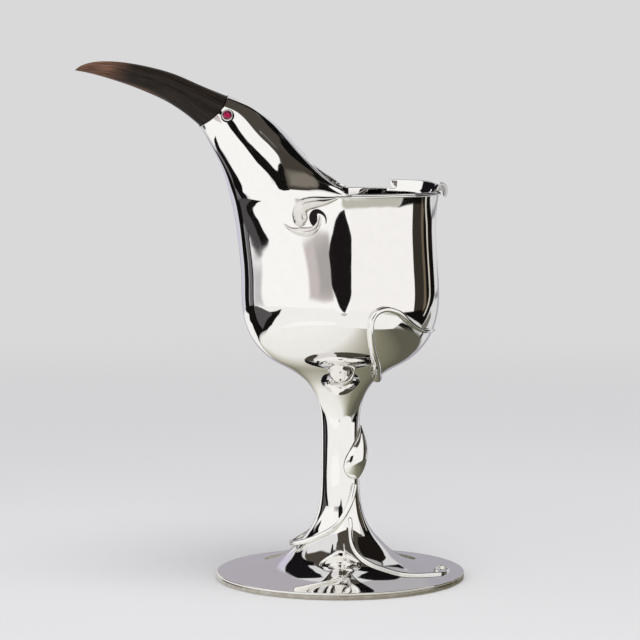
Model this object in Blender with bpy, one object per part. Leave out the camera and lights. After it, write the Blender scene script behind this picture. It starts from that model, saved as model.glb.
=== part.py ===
"""A silver goblet whose bowl runs up into a long-beaked bird's head.

Frame: metres, +Z up, the beak points along -X, the foot rests on z = 0.
Places are worked out about the stem's axis. An empty that carries every piece then
stands beside the origin, so that the origin lies under the middle of the whole cup.
"""
import math

import bmesh
import bpy
from mathutils import Vector
import numpy as np

MM = 0.001

# Foot
FOOT_RADIUS = 59.4 * MM
FOOT_SHEET = 1.0 * MM
FOOT_BAND_HEIGHT = 1.6 * MM
FOOT_BAND_WIDTH = 2.6 * MM
FOOT_FLARE_TOP = 45.0 * MM

# Stem
STEM_RADIUS = 9.1 * MM
STEM_WALL = 1.1 * MM
STEM_TOP = 75.0 * MM
CALYX_RADIUS = 19.6 * MM
CALYX_TOP = 97.3 * MM

# Bowl. The belly's swell and the spout's swing are beyond the rim, the waist's tuck is inside it.
BOWL_WALL = 1.0 * MM
RIM_RADIUS = 46.9 * MM
RIM_HEIGHT = 185.2 * MM
BELLY_SWELL = 0.2 * MM
BELLY_HEIGHT = 137.0 * MM
WAIST_TUCK = 1.5 * MM
WAIST_DROP = 17.2 * MM
SPOUT_SWING = 5.5 * MM
SPOUT_DROP = 47.2 * MM

# Rim wire, volutes, and the raised band with its curl at the back of the rim
RIM_WIRE_RADIUS = 0.6 * MM
RIM_WIRE_END_ANGLE = 93.0
VOLUTE_REACH = 7.0 * MM
VOLUTE_HALF_WIDTH = 3.7 * MM
VOLUTE_RELIEF = 3.4 * MM
VOLUTE_ANGLE = 107.0
VOLUTE_DROP = 10.2 * MM
BAND_WALL = 0.9 * MM
BAND_RISE = 4.6 * MM
BAND_LAP = 8.0 * MM
BAND_END_ANGLE = 59.0
CURL_REACH = 3.6 * MM
CURL_HALF_ANGLE = 6.0

# Neck and head. A reach is towards the beak from the stem's axis, a rise is up from the rim.
NECK_WALL = 1.0 * MM
NECK_HALF_WIDTH = 25.0 * MM
HEAD_HALF_WIDTH = 8.7 * MM
ARCH_FOOT = 3.0 * MM
ARCH_REACH = 13.5 * MM
ARCH_RISE = 12.8 * MM
CROWN_REACH = 53.5 * MM
CROWN_RISE = 45.3 * MM
THROAT_REACH = 66.5 * MM
THROAT_RISE = 31.0 * MM
ARCH_SPREAD = math.radians(80.0)
ARCH_FULLNESS = 0.12
NECK_TENSION = 1.5

# Beak, eyes and the pin behind the eyes
BEAK_REACH = 125.8 * MM
BEAK_RISE = 57.5 * MM
BEAK_TIP_RADIUS = 0.7 * MM
TANG_DEPTH = 12.0 * MM
PIN_RADIUS = 1.2 * MM
EYE_BACK = 6.6 * MM
EYE_RISE = 2.9 * MM
EYE_RADIUS = 2.1 * MM
COLLET_WALL = 0.5 * MM
COLLET_HEIGHT = 1.5 * MM

# Tendrils and leaf
BOWL_TENDRIL_RADIUS = 1.4 * MM
DROP_RADIUS = 2.5 * MM
STALK_RADIUS = 1.2 * MM
FOOT_TENDRIL_RADIUS = 0.7 * MM
LEAF_SHEET = 0.8 * MM
LEAF_LIFT = 3.2 * MM
LEAF_BASE_HEIGHT = 48.0 * MM
LEAF_LENGTH = 25.0 * MM
LEAF_BASE_ANGLE = -42.0
LEAF_TIP_ANGLE = 10.0
LEAF_HALF_SPREAD = 58.0
LEAF_NARROW_SPREAD = 4.0

# Solder gap between neighbours
GAP = 0.3 * MM

# Facets
AROUND = 40
NECK_AROUND = 36
NECK_ROWS = 14
NECK_WAVES = 144
VOLUTE_AROUND = 10
FOOT_ROWS = 12
BOWL_ROWS = 14
CALYX_ROWS = 10
BEAK_AROUND = 18
BEAK_ROWS = 14
WIRE_STEPS = 36
EYE_AROUND = 18
SHARP_ANGLE = 24.0

# Corner points of the turned forms, as radius and height
FOOT_EDGE = (FOOT_RADIUS - 0.2 * MM, FOOT_BAND_HEIGHT + GAP + FOOT_SHEET)
FLARE_TOP = (STEM_RADIUS, FOOT_FLARE_TOP - GAP / 2)
STEM_FOOT = (STEM_RADIUS, FOOT_FLARE_TOP + GAP / 2)
CALYX_FOOT = (STEM_RADIUS, STEM_TOP)
CALYX_EDGE = (CALYX_RADIUS, CALYX_TOP)
BOWL_FOOT = (CALYX_RADIUS + GAP, CALYX_TOP + GAP)
BELLY = (RIM_RADIUS + BELLY_SWELL, BELLY_HEIGHT)
WAIST = (RIM_RADIUS - WAIST_TUCK, RIM_HEIGHT - WAIST_DROP)
RIM = (RIM_RADIUS, RIM_HEIGHT - GAP / 2)

# Corner points of the neck and the beak in the middle plane, as X and Z
ARCH_TOP = (-ARCH_REACH, RIM_HEIGHT + ARCH_RISE)
JOINT_TOP = (-CROWN_REACH, RIM_HEIGHT + CROWN_RISE)
JOINT_THROAT = (-THROAT_REACH, RIM_HEIGHT + THROAT_RISE)
BEAK_TIP = (-BEAK_REACH, RIM_HEIGHT + BEAK_RISE)

# How each outline runs between its corners, as shares of the way out and of the way up
FOOT_SHARES = [(0, 0), (0.28, 0.030), (0.48, 0.088), (0.67, 0.205), (0.80, 0.352),
               (0.88, 0.454), (0.94, 0.575), (0.975, 0.72), (0.992, 0.86), (1, 1)]
CALYX_SHARES = [(0, 0), (0.08, 0.29), (0.236, 0.547), (0.48, 0.755), (0.727, 0.889), (1, 1)]
BELLY_SHARES = [(0, 0), (0.20, 0.088), (0.59, 0.29), (0.863, 0.55), (0.975, 0.77), (1, 1)]
WAIST_SHARES = [(0, 0), (0.5, 0.5), (1, 1)]
LIP_SHARES = [(0, 0), (0.10, 0.30), (0.48, 0.66), (1, 1)]
NECK_WIDTH_SHARES = [(0, 0), (0.25, 0.32), (0.5, 0.64), (0.75, 0.87), (1, 1)]
THROAT_SHARES = [(0, 0), (0.206, 0.371), (0.539, 0.708), (1, 1)]
CROWN_SHARES = [(0, 0), (0.2025, 0.314), (0.535, 0.692), (1, 1)]
CULMEN_SHARES = [(0, 0), (0.344, 0.795), (0.665, 1.303), (0.823, 1.344), (0.94, 1.21), (1, 1)]
BEAK_LOWER_SHARES = [(0, 0), (0.162, 0.306), (0.41, 0.589), (0.713, 0.838), (1, 1)]

# The volute's winding, from its start under the rim to its tongue, away from its middle: sideways
# and up as shares of its reach, and how wide it is as a share of its greatest half width
VOLUTE_WINDING = [(1.46, 1.14, 0.19), (0.87, 1.04, 0.57), (0.07, 0.94, 0.8), (-0.56, 0.71, 0.95),
                  (-0.77, 0.27, 1.0), (-0.75, -0.25, 0.97), (-0.58, -0.72, 0.8), (-0.2, -0.92, 0.65),
                  (0.2, -0.75, 0.5), (0.47, -0.33, 0.3), (0.56, 0.17, 0.1)]

# Routes of the soldered wires: the angle round the stem's axis in degrees (0 is away from the beak,
# minus is the near side), how far along, and the lift off the surface as a share of the wire's
# radius. The second value is a share of the way from the calyx to the belly, of the flare's height,
# or of the foot's radius.
BOWL_TENDRIL_ROUTE = [(-40, 0.05, 0), (-56, 0.164, 0), (-67, 0.34, 0), (-72, 0.554, 0), (-73, 0.73, 0),
                      (-70, 0.844, 0), (-63, 0.887, 0), (-55, 0.831, 0), (-44.5, 0.69, 0),
                      (-33.7, 0.605, 0), (-14, 0.554, 0), (8, 0.529, 0)]
LEAF_STALK_ROUTE = [(-56.9, 0.873, 0), (-75.6, 0.731, 0), (-94.4, 0.609, 0), (-116, 0.502, 0),
                    (-140, 0.413, 0), (-155, 0.362, 0.83), (-168, 0.324, 2.0), (-180, 0.329, 1.67),
                    (-196, 0.389, 0.5), (-215, 0.489, 0), (-236, 0.6, 0)]
FOOT_TENDRIL_ROUTE = [(-71, 0.347), (-67, 0.396), (-61.6, 0.448), (-56, 0.495), (-48, 0.567),
                      (-41, 0.648), (-31, 0.732), (-22, 0.801), (-14, 0.852), (-7, 0.870),
                      (-1, 0.852), (0.5, 0.808), (-4, 0.778), (-9, 0.785)]


def smooth_line(points, count):
    """A curve through the points: Hermite spans with tangents from the neighbouring chords."""
    p = np.asarray(points, dtype=float)
    s = np.concatenate([[0.0], np.cumsum(np.linalg.norm(np.diff(p, axis=0), axis=1))])
    slope = np.gradient(p, s, axis=0)
    at = np.linspace(0.0, s[-1], count)
    k = np.clip(np.searchsorted(s, at, side="right") - 1, 0, len(s) - 2)
    h = (s[k + 1] - s[k])[:, None]
    t = (at - s[k])[:, None] / h
    return (p[k] * (2 * t**3 - 3 * t**2 + 1) + slope[k] * h * (t**3 - 2 * t**2 + t)
            + p[k + 1] * (3 * t**2 - 2 * t**3) + slope[k + 1] * h * (t**3 - t**2))


def between(start, end, shares):
    """The points at the given shares of the way from start to end."""
    return [(start[0] + (end[0] - start[0]) * a, start[1] + (end[1] - start[1]) * b) for a, b in shares]


FOOT_LINE = between(FOOT_EDGE, FLARE_TOP, FOOT_SHARES)
CALYX_LINE = between(CALYX_FOOT, CALYX_EDGE, CALYX_SHARES)
BOWL_LINE = (between(BOWL_FOOT, BELLY, BELLY_SHARES) + between(BELLY, WAIST, WAIST_SHARES)[1:]
             + between(WAIST, RIM, LIP_SHARES)[1:])
FOOT_CURVE = smooth_line(FOOT_LINE, 200)
BOWL_CURVE = smooth_line(BOWL_LINE, 200)
BODY_CURVE = np.concatenate([FOOT_CURVE, smooth_line(CALYX_LINE, 80), BOWL_CURVE])


def wall_radius(angle, height):
    """The bowl's outer radius: turned, but swinging out towards the beak as it rises."""
    turned = np.interp(height, BOWL_CURVE[:, 1], BOWL_CURVE[:, 0])
    beak_side = ((1.0 - np.cos(angle)) / 2.0) ** 3
    climb = np.clip(1.0 - (RIM_HEIGHT - height) / SPOUT_DROP, 0.0, 1.0)
    return turned + beak_side * SPOUT_SWING * climb**1.2


def body_point(angle_deg, height, lift):
    """The point that lies lift away from the foot, stem or bowl, along the outline's normal."""
    angle = math.radians(angle_deg)
    k = int(np.clip(np.searchsorted(BODY_CURVE[:, 1], height), 3, len(BODY_CURVE) - 4))
    dr, dz = BODY_CURVE[k + 3] - BODY_CURVE[k - 3]
    size = math.hypot(dr, dz)
    radius = float(np.interp(height, BODY_CURVE[:, 1], BODY_CURVE[:, 0]))
    if height > BOWL_FOOT[1]:
        radius = float(wall_radius(angle, height))
    r = radius + lift * dz / size
    return Vector((r * math.cos(angle), r * math.sin(angle), height - lift * dr / size))


def foot_height(radius):
    return float(np.interp(-radius, -FOOT_CURVE[:, 0], FOOT_CURVE[:, 1]))


def finish(name, colour, roughness, metallic):
    """A Principled material with the colour, roughness and metallic value of the real surface."""
    material = bpy.data.materials.new(name)
    material.use_nodes = True
    shader = material.node_tree.nodes["Principled BSDF"]
    shader.inputs["Base Color"].default_value = (*colour, 1.0)
    shader.inputs["Roughness"].default_value = roughness
    shader.inputs["Metallic"].default_value = metallic
    material.diffuse_color = (*colour, 1.0)
    return material


def add_object(name, data, material, axis):
    piece = bpy.data.objects.new(name, data)
    bpy.context.collection.objects.link(piece)
    piece.data.materials.append(material)
    piece.parent = axis
    return piece


def mesh_of(name, points, faces):
    mesh = bpy.data.meshes.new(name)
    mesh.from_pydata([tuple(p) for p in points], [], faces)
    bm = bmesh.new()
    bm.from_mesh(mesh)
    bmesh.ops.recalc_face_normals(bm, faces=bm.faces)
    bm.to_mesh(mesh)
    bm.free()
    mesh.shade_smooth()
    mesh.set_sharp_from_angle(angle=math.radians(SHARP_ANGLE))
    return mesh


def loft(name, rings, ends="capped"):
    """A closed solid skinned over rings of equal length; its ends are capped or joined in a loop."""
    rings = [np.asarray(ring, dtype=float) for ring in rings]
    count, around = len(rings), len(rings[0])
    points = np.concatenate(rings)
    faces = []
    spans = count if ends == "looped" else count - 1
    for k in range(spans):
        a, b = k * around, ((k + 1) % count) * around
        faces += [(a + i, a + (i + 1) % around, b + (i + 1) % around, b + i) for i in range(around)]
    if ends == "capped":
        faces += [tuple(range(around))[::-1], tuple((count - 1) * around + i for i in range(around))]
    return mesh_of(name, points, faces)


def turned(name, outline, material, axis, closed, wall=0.0):
    """A form turned about Z. An open outline is a sheet of the given wall, a closed one is solid."""
    mesh = bpy.data.meshes.new(name)
    edges = [(i, i + 1) for i in range(len(outline) - 1)] + ([(len(outline) - 1, 0)] if closed else [])
    mesh.from_pydata([(r, 0.0, z) for r, z in outline], edges, [])
    piece = add_object(name, mesh, material, axis)
    screw = piece.modifiers.new("turn", "SCREW")
    screw.axis, screw.angle = "Z", 2 * math.pi
    screw.steps = screw.render_steps = AROUND
    screw.use_merge_vertices, screw.merge_threshold = True, 0.00001
    screw.use_smooth_shade = True
    if wall:
        sheet = piece.modifiers.new("sheet", "SOLIDIFY")
        sheet.thickness, sheet.offset, sheet.use_even_offset = wall, -1.0, True
    return piece


def wire(name, points, radii, material, axis):
    """Drawn wire along the points, as thick at each one as radii says."""
    curve = bpy.data.curves.new(name, "CURVE")
    curve.dimensions, curve.bevel_depth, curve.bevel_resolution = "3D", 1.0, 2
    curve.use_fill_caps = True
    spline = curve.splines.new("POLY")
    spline.points.add(len(points) - 1)
    for node, point, radius in zip(spline.points, points, radii):
        node.co = (*point, 1.0)
        node.radius = radius
    return add_object(name, curve, material, axis)


def wrapped_wire(name, route, radii, reach, material, axis):
    """Wire soldered on the body: a route of angles, heights and lifts, and radii at shares of it.

    The reach is about the route's distance from the axis, and turns its angles into lengths.
    """
    path = smooth_line([(math.radians(a) * reach, h, lift) for a, h, lift in route], WIRE_STEPS)
    thick = np.interp(np.linspace(0, 1, WIRE_STEPS), *zip(*radii))
    points = [body_point(math.degrees(s / reach), h, lift + r + GAP) for (s, h, lift), r in zip(path, thick)]
    wire(name, points, thick, material, axis)


def make_foot(silver, axis):
    outline = smooth_line(FOOT_LINE, FOOT_ROWS)[::-1]
    turned("foot_plate", outline, silver, axis, closed=False, wall=FOOT_SHEET)
    inner, edge = FOOT_RADIUS - FOOT_BAND_WIDTH, 0.3 * FOOT_BAND_HEIGHT
    band = [(inner, FOOT_BAND_HEIGHT), (inner, 0), (FOOT_RADIUS - edge, 0), (FOOT_RADIUS, edge),
            (FOOT_RADIUS, FOOT_BAND_HEIGHT - edge), (FOOT_RADIUS - edge, FOOT_BAND_HEIGHT)]
    turned("foot_edge_band", band[::-1], silver, axis, closed=True)


def make_stem(silver, axis):
    """The stem's tube and the calyx under the bowl, in one piece."""
    outside = [STEM_FOOT] + [tuple(p) for p in smooth_line(CALYX_LINE, CALYX_ROWS)]
    inside = [(r - STEM_WALL, z) for r, z in outside]
    turned("stem", outside[::-1] + inside, silver, axis, closed=True)


def make_bowl(silver, axis):
    """The raised cup: outer wall up from its flat floor, over the rim, and down inside again."""
    angles = np.linspace(0, 2 * math.pi, AROUND, endpoint=False)
    line = smooth_line(BOWL_LINE, BOWL_ROWS)
    lean = np.gradient(line, axis=0)
    lean /= np.linalg.norm(lean, axis=1)[:, None]
    lining = np.stack([line[:, 0] - BOWL_WALL * lean[:, 1], line[:, 1] + BOWL_WALL * lean[:, 0]], axis=1)
    lining[0, 1] = BOWL_FOOT[1] + BOWL_WALL
    lining[-1] = (RIM[0] - BOWL_WALL, RIM[1])
    rings = []
    for (r, z), inset in [(p, 0.0) for p in line] + [(p, 1.0) for p in lining[::-1]]:
        radius = wall_radius(angles, z) + inset * (r - wall_radius(0.0, z))
        rings.append(np.stack([radius * np.cos(angles), radius * np.sin(angles),
                               np.full(AROUND, z)], axis=1))
    add_object("bowl", loft("bowl", rings), silver, axis)


def arch_and_rim(phi):
    """Where the neck begins: on the arch over the mouth, and round the rim on the beak's side.

    The arch leaves the rim at each side and rises in a slanted plane to its top in the middle.
    """
    foot_angle = math.acos(ARCH_FOOT / RIM_RADIUS)
    share = np.clip(np.abs(phi) / ARCH_SPREAD, 0.0, 1.0)
    a = share * math.pi / 2
    run = 1.0 - np.cos(a) + ARCH_FULLNESS * np.sin(2 * a) ** 2
    x = ARCH_TOP[0] + (ARCH_FOOT - ARCH_TOP[0]) * run
    start = RIM_HEIGHT + GAP / 2
    z = start + (ARCH_FOOT - x) / (ARCH_FOOT - ARCH_TOP[0]) * (ARCH_TOP[1] - start)
    y = RIM_RADIUS * math.sin(foot_angle) * np.sin(a)
    back = (np.abs(phi) - ARCH_SPREAD) / (math.pi - ARCH_SPREAD)
    angle = foot_angle + (math.pi - foot_angle) * np.clip(back, 0.0, 1.0)
    radius = wall_radius(angle, RIM_HEIGHT)
    on_rim = back > 0
    x = np.where(on_rim, radius * np.cos(angle), x)
    y = np.where(on_rim, radius * np.sin(angle), y) * np.where(phi < 0, -1.0, 1.0)
    return np.stack([x, y, np.where(on_rim, start, z)], axis=-1)


def oval_ring(t, phi, inset):
    """An oval from throat to crown at the share t of the neck."""
    foot = (-RIM_RADIUS - SPOUT_SWING, RIM_HEIGHT + GAP / 2)
    throat = smooth_line(between(foot, JOINT_THROAT, THROAT_SHARES), 200)
    crown = smooth_line(between(ARCH_TOP, JOINT_TOP, CROWN_SHARES), 200)
    at = np.linspace(0, 1, 200)
    low = np.stack([np.interp(t, at, throat[:, i]) for i in range(2)], axis=-1)
    high = np.stack([np.interp(t, at, crown[:, i]) for i in range(2)], axis=-1)
    middle, span = (low + high) / 2, high - low
    length = np.linalg.norm(span, axis=-1)
    along = span / length[..., None]
    width = np.interp(t, *smooth_line(between((0.0, NECK_HALF_WIDTH), (1.0, HEAD_HALF_WIDTH),
                                              NECK_WIDTH_SHARES), 120).T)
    a, b = (length / 2 - inset) * np.cos(phi), (width - inset) * np.sin(phi)
    return np.stack([middle[..., 0] + a * along[..., 0], b, middle[..., 1] + a * along[..., 1]], axis=-1)


def start_line(phi, inset):
    """The arch and the rim, moved in by the inset."""
    at_start = arch_and_rim(phi)
    inward = at_start.copy()
    inward[..., 0] += (RIM_RADIUS + SPOUT_SWING) / 2
    inward[..., 2] = 0.0
    return at_start - inset * inward / np.linalg.norm(inward, axis=-1)[..., None]


def stretched(t, phi, inset):
    """How far the start line pulls the neck away from its ovals.

    Round the neck, what parts the start line from the first oval is a sum of waves. Along the
    neck each wave dies away by its count, as in a stretched skin, so the corners smooth out.
    """
    turn = np.linspace(-math.pi, math.pi, NECK_WAVES, endpoint=False)
    waves = np.fft.rfft(start_line(turn, inset) - oval_ring(0.0 * turn, turn, inset), axis=0) / NECK_WAVES
    waves[1:-1] *= 2.0
    growth = 1j * (np.asarray(phi)[..., None] + math.pi) - NECK_TENSION * np.asarray(t)[..., None]
    return (np.exp(np.arange(len(waves)) * growth) @ waves).real


def neck_points(t, phi, inset):
    """The neck: it leaves the arch and the rim, and soon settles into the ovals of the head.

    Throat and crown keep to their lines in the middle plane.
    """
    crown_share = ((1.0 + np.cos(phi)) / 2)[..., None]
    off = (stretched(t, phi, inset) - stretched(t, 0.0 * phi, inset) * crown_share
           - stretched(t, 0.0 * phi + math.pi, inset) * (1.0 - crown_share))
    fade = (1.0 - t) ** 2 * (1.0 + 1.2 * t)
    return oval_ring(t, phi, inset) + off * fade[..., None]


def make_neck(silver, axis):
    phi = np.linspace(-math.pi, math.pi, NECK_AROUND, endpoint=False)
    rows = [np.full(NECK_AROUND, t) for t in np.linspace(0, 1, NECK_ROWS)]
    outside = [neck_points(t, phi, 0.0) for t in rows]
    inside = [neck_points(t, phi, NECK_WALL) for t in rows]
    neck = add_object("neck_and_head", loft("neck_and_head", outside + inside[::-1], "looped"), silver, axis)
    drill(neck, axis)


def joint_frame():
    """The middle of the beak's joint, the way into the head, and the way up across the joint."""
    top, throat = Vector((JOINT_TOP[0], 0, JOINT_TOP[1])), Vector((JOINT_THROAT[0], 0, JOINT_THROAT[1]))
    up = (top - throat).normalized()
    return (top + throat) / 2, Vector((up.z, 0, -up.x)), up, (top - throat).length / 2


def eye_place():
    """The eye's centre on the head's near side and the outward normal there."""
    middle, back, up, _ = joint_frame()
    centre = middle + back * EYE_BACK + up * EYE_RISE
    t, phi = np.meshgrid(np.linspace(0.6, 1.0, 161), np.radians(np.linspace(-130, -50, 161)), indexing="ij")
    grid = neck_points(t, phi, 0.0)
    away = (grid[..., 0] - centre.x) ** 2 + (grid[..., 2] - centre.z) ** 2
    i, j = np.unravel_index(away[2:-2, 2:-2].argmin(), away[2:-2, 2:-2].shape)
    i, j = i + 2, j + 2
    normal = Vector(np.cross(grid[i + 2, j] - grid[i - 2, j], grid[i, j + 2] - grid[i, j - 2])).normalized()
    if normal.y > 0:
        normal = -normal
    return Vector(grid[i, j]), normal


def rod(name, radius, half_length, sides=14):
    """A round rod across the head at the eyes, for the pin and for its holes."""
    centre, _ = eye_place()
    angles = np.linspace(0, 2 * math.pi, sides, endpoint=False)
    x, z = centre.x + radius * np.cos(angles), centre.z + radius * np.sin(angles)
    return loft(name, [np.stack([x, np.full(sides, y), z], axis=1) for y in (-half_length, half_length)])


def drill(piece, axis):
    """The pin's hole, cut right across a piece."""
    cutter = bpy.data.objects.new(piece.name + "_drill", rod("drill", PIN_RADIUS + GAP, 4 * HEAD_HALF_WIDTH))
    bpy.context.collection.objects.link(cutter)
    cutter.parent = axis
    cutter.hide_render, cutter.display_type = True, "WIRE"
    hole = piece.modifiers.new("pin hole", "BOOLEAN")
    hole.operation, hole.solver, hole.object = "DIFFERENCE", "EXACT", cutter


def beak_ring(centre, up, half_length, half_width):
    angles = np.linspace(0, 2 * math.pi, BEAK_AROUND, endpoint=False)
    return [centre + up * (half_length * math.cos(a)) + Vector((0, half_width * math.sin(a), 0))
            for a in angles]


def make_beak(horn, axis):
    """The horn beak: a tang that fills the head's socket, a shoulder, and the long curved blade."""
    middle, back, up, half = joint_frame()
    fit = NECK_WALL + GAP
    tang_width = HEAD_HALF_WIDTH - fit
    rings = [beak_ring(middle + back * depth, up, (half - fit) * shrink, tang_width * shrink)
             for depth, shrink in ((TANG_DEPTH, 0.9), (-GAP, 1.0))]
    top = smooth_line(between(JOINT_TOP, BEAK_TIP, CULMEN_SHARES), BEAK_ROWS)
    low = smooth_line(between(JOINT_THROAT, BEAK_TIP, BEAK_LOWER_SHARES), BEAK_ROWS)
    flat = HEAD_HALF_WIDTH / half
    for k in range(BEAK_ROWS):
        high, deep = Vector((top[k, 0], 0, top[k, 1])), Vector((low[k, 0], 0, low[k, 1]))
        centre, span = (high + deep) / 2, high - deep
        if span.length < 2 * BEAK_TIP_RADIUS:
            span = Vector((0, 0, 2 * BEAK_TIP_RADIUS))
        if k == 0:
            centre = centre - back * GAP
        rings.append(beak_ring(centre, span.normalized(), span.length / 2, span.length / 2 * flat))
    beak = add_object("beak", loft("beak", rings), horn, axis)
    drill(beak, axis)


def make_pin(silver, axis):
    centre, _ = eye_place()
    add_object("beak_pin", rod("beak_pin", PIN_RADIUS, abs(centre.y) - GAP), silver, axis)


def place_eye(piece, side):
    centre, normal = eye_place()
    centre.y, normal.y = side * abs(centre.y), side * abs(normal.y)
    piece.rotation_mode = "QUATERNION"
    piece.rotation_quaternion = normal.to_track_quat("Z", "Y")
    piece.location = centre


def make_eyes(silver, garnet, axis):
    """On each side a collet over the pin's end, and a domed stone in it."""
    seat = EYE_RADIUS + GAP
    outer = seat + COLLET_WALL
    floor = GAP + COLLET_WALL
    collet = [(0, floor), (seat, floor), (seat, COLLET_HEIGHT), (outer - 0.2 * COLLET_WALL, COLLET_HEIGHT),
              (outer, COLLET_HEIGHT - 0.3 * COLLET_WALL), (outer, GAP), (0, GAP)]
    rise = [(EYE_RADIUS * math.sin(a), COLLET_HEIGHT - GAP + 0.55 * EYE_RADIUS * math.cos(a))
            for a in np.linspace(0, math.pi / 2, 6)]
    stone = rise + [(EYE_RADIUS, floor + GAP), (0, floor + GAP)]
    for side, word in ((-1, "near"), (1, "far")):
        for name, outline, finish in (("eye_collet_", collet, silver), ("eye_stone_", stone, garnet)):
            piece = turned(name + word, outline, finish, axis, closed=False)
            piece.modifiers["turn"].steps = piece.modifiers["turn"].render_steps = EYE_AROUND
            place_eye(piece, side)


def make_rim_wire(silver, axis):
    angles = np.radians(np.linspace(-RIM_WIRE_END_ANGLE, RIM_WIRE_END_ANGLE, WIRE_STEPS))
    height = RIM_HEIGHT - GAP / 2 - RIM_WIRE_RADIUS
    radius = wall_radius(angles, RIM_HEIGHT) + GAP + RIM_WIRE_RADIUS
    points = np.stack([radius * np.cos(angles), radius * np.sin(angles), np.full(WIRE_STEPS, height)],
                      axis=1)
    wire("rim_wire", points, [RIM_WIRE_RADIUS] * WIRE_STEPS, silver, axis)


def make_volutes(silver, axis):
    """A scroll on each side under the rim, where the neck begins: a rounded strap wound in a turn,
    broad at its bend and drawn out to a tongue."""
    winding = smooth_line(VOLUTE_WINDING, WIRE_STEPS)
    places = winding[:, :2] * VOLUTE_REACH
    along = np.gradient(places, axis=0)
    across = np.stack([along[:, 1], -along[:, 0]], axis=1) / np.linalg.norm(along, axis=1)[:, None]
    for side, word in ((-1, "near"), (1, "far")):
        rings = []
        for place, way, share in zip(places, across, winding[:, 2]):
            ring = []
            for a in np.linspace(0, 2 * math.pi, VOLUTE_AROUND, endpoint=False):
                sideways, up = place + way * (share * VOLUTE_HALF_WIDTH * math.cos(a))
                lift = GAP + share * VOLUTE_RELIEF * (1.0 + math.sin(a)) / 2
                angle = VOLUTE_ANGLE - math.degrees(sideways / WAIST[0])
                ring.append(body_point(side * angle, RIM_HEIGHT - VOLUTE_DROP + up, lift))
            rings.append(ring)
        add_object("volute_" + word, loft("volute_" + word, rings), silver, axis)


def make_rim_band(silver, axis):
    """The band lapped inside the back of the rim, standing above it."""
    foot, top = RIM_HEIGHT - BAND_LAP, RIM_HEIGHT + BAND_RISE
    heights = np.array([foot, RIM_HEIGHT - BAND_LAP / 2, RIM_HEIGHT, RIM_HEIGHT + BAND_RISE / 2, top])
    lean = np.clip((heights - RIM_HEIGHT) / BAND_RISE, 0, 1) ** 2 * BAND_WALL
    start = CURL_HALF_ANGLE + math.degrees(GAP / RIM_RADIUS)
    rings = []
    for angle in np.radians(np.linspace(start, BAND_END_ANGLE, 13)):
        r = wall_radius(angle, heights) - BOWL_WALL - GAP + lean
        line = [(a, h) for a, h in zip(r, heights)] + [(a - BAND_WALL, h) for a, h in zip(r, heights)][::-1]
        rings.append([(a * math.cos(angle), a * math.sin(angle), h) for a, h in line])
    add_object("rim_band", loft("rim_band", rings), silver, axis)


def make_band_curl(silver, axis):
    """The band's end at the back of the cup, rolled outwards over the rim wire."""
    inner = RIM_RADIUS - BOWL_WALL / 2
    reach = RIM_RADIUS + CURL_REACH
    top = RIM_HEIGHT + 0.78 * BAND_RISE
    path = smooth_line([(inner, RIM_HEIGHT + GAP), (inner + 0.2 * CURL_REACH, RIM_HEIGHT + 0.5 * BAND_RISE),
                        ((inner + reach) / 2, top), (reach, RIM_HEIGHT + 0.45 * BAND_RISE),
                        (reach + 0.1 * CURL_REACH, RIM_HEIGHT - 0.1 * BAND_RISE),
                        (reach - 0.2 * CURL_REACH, RIM_HEIGHT - 0.5 * BAND_RISE)], 13)
    lean = np.gradient(path, axis=0)
    across = np.stack([lean[:, 1], -lean[:, 0]], axis=1) / np.linalg.norm(lean, axis=1)[:, None]
    across[0] = (1.0, 0.0)
    outline = np.concatenate([path + across * BAND_WALL / 2, (path - across * BAND_WALL / 2)[::-1]])
    rings = [[(r * math.cos(a), r * math.sin(a), z) for r, z in outline]
             for a in np.radians(np.linspace(-CURL_HALF_ANGLE, CURL_HALF_ANGLE, 5))]
    add_object("rim_band_curl", loft("rim_band_curl", rings), silver, axis)


def make_tendrils(silver, axis):
    """The wires of the ornament: over the bowl, across the stem's foot, and out over the foot."""
    rise = BELLY_HEIGHT - CALYX_TOP
    wrapped_wire("bowl_tendril", [(a, CALYX_TOP + rise * s, lift) for a, s, lift in BOWL_TENDRIL_ROUTE],
                 [(0, DROP_RADIUS * 0.55), (0.04, DROP_RADIUS), (0.14, BOWL_TENDRIL_RADIUS * 1.5),
                  (0.3, BOWL_TENDRIL_RADIUS), (0.62, BOWL_TENDRIL_RADIUS * 0.8),
                  (1, BOWL_TENDRIL_RADIUS * 0.3)], RIM_RADIUS, silver, axis)
    wrapped_wire("leaf_stalk", [(a, FOOT_FLARE_TOP * s, lift * STALK_RADIUS)
                                for a, s, lift in LEAF_STALK_ROUTE],
                 [(0, STALK_RADIUS), (0.6, STALK_RADIUS), (1, STALK_RADIUS * 0.35)],
                 2 * STEM_RADIUS, silver, axis)
    wrapped_wire("foot_tendril", [(a, foot_height(FOOT_RADIUS * s), 0) for a, s in FOOT_TENDRIL_ROUTE],
                 [(0, FOOT_TENDRIL_RADIUS), (0.8, FOOT_TENDRIL_RADIUS), (1, FOOT_TENDRIL_RADIUS * 1.2)],
                 0.7 * FOOT_RADIUS, silver, axis)


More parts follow.
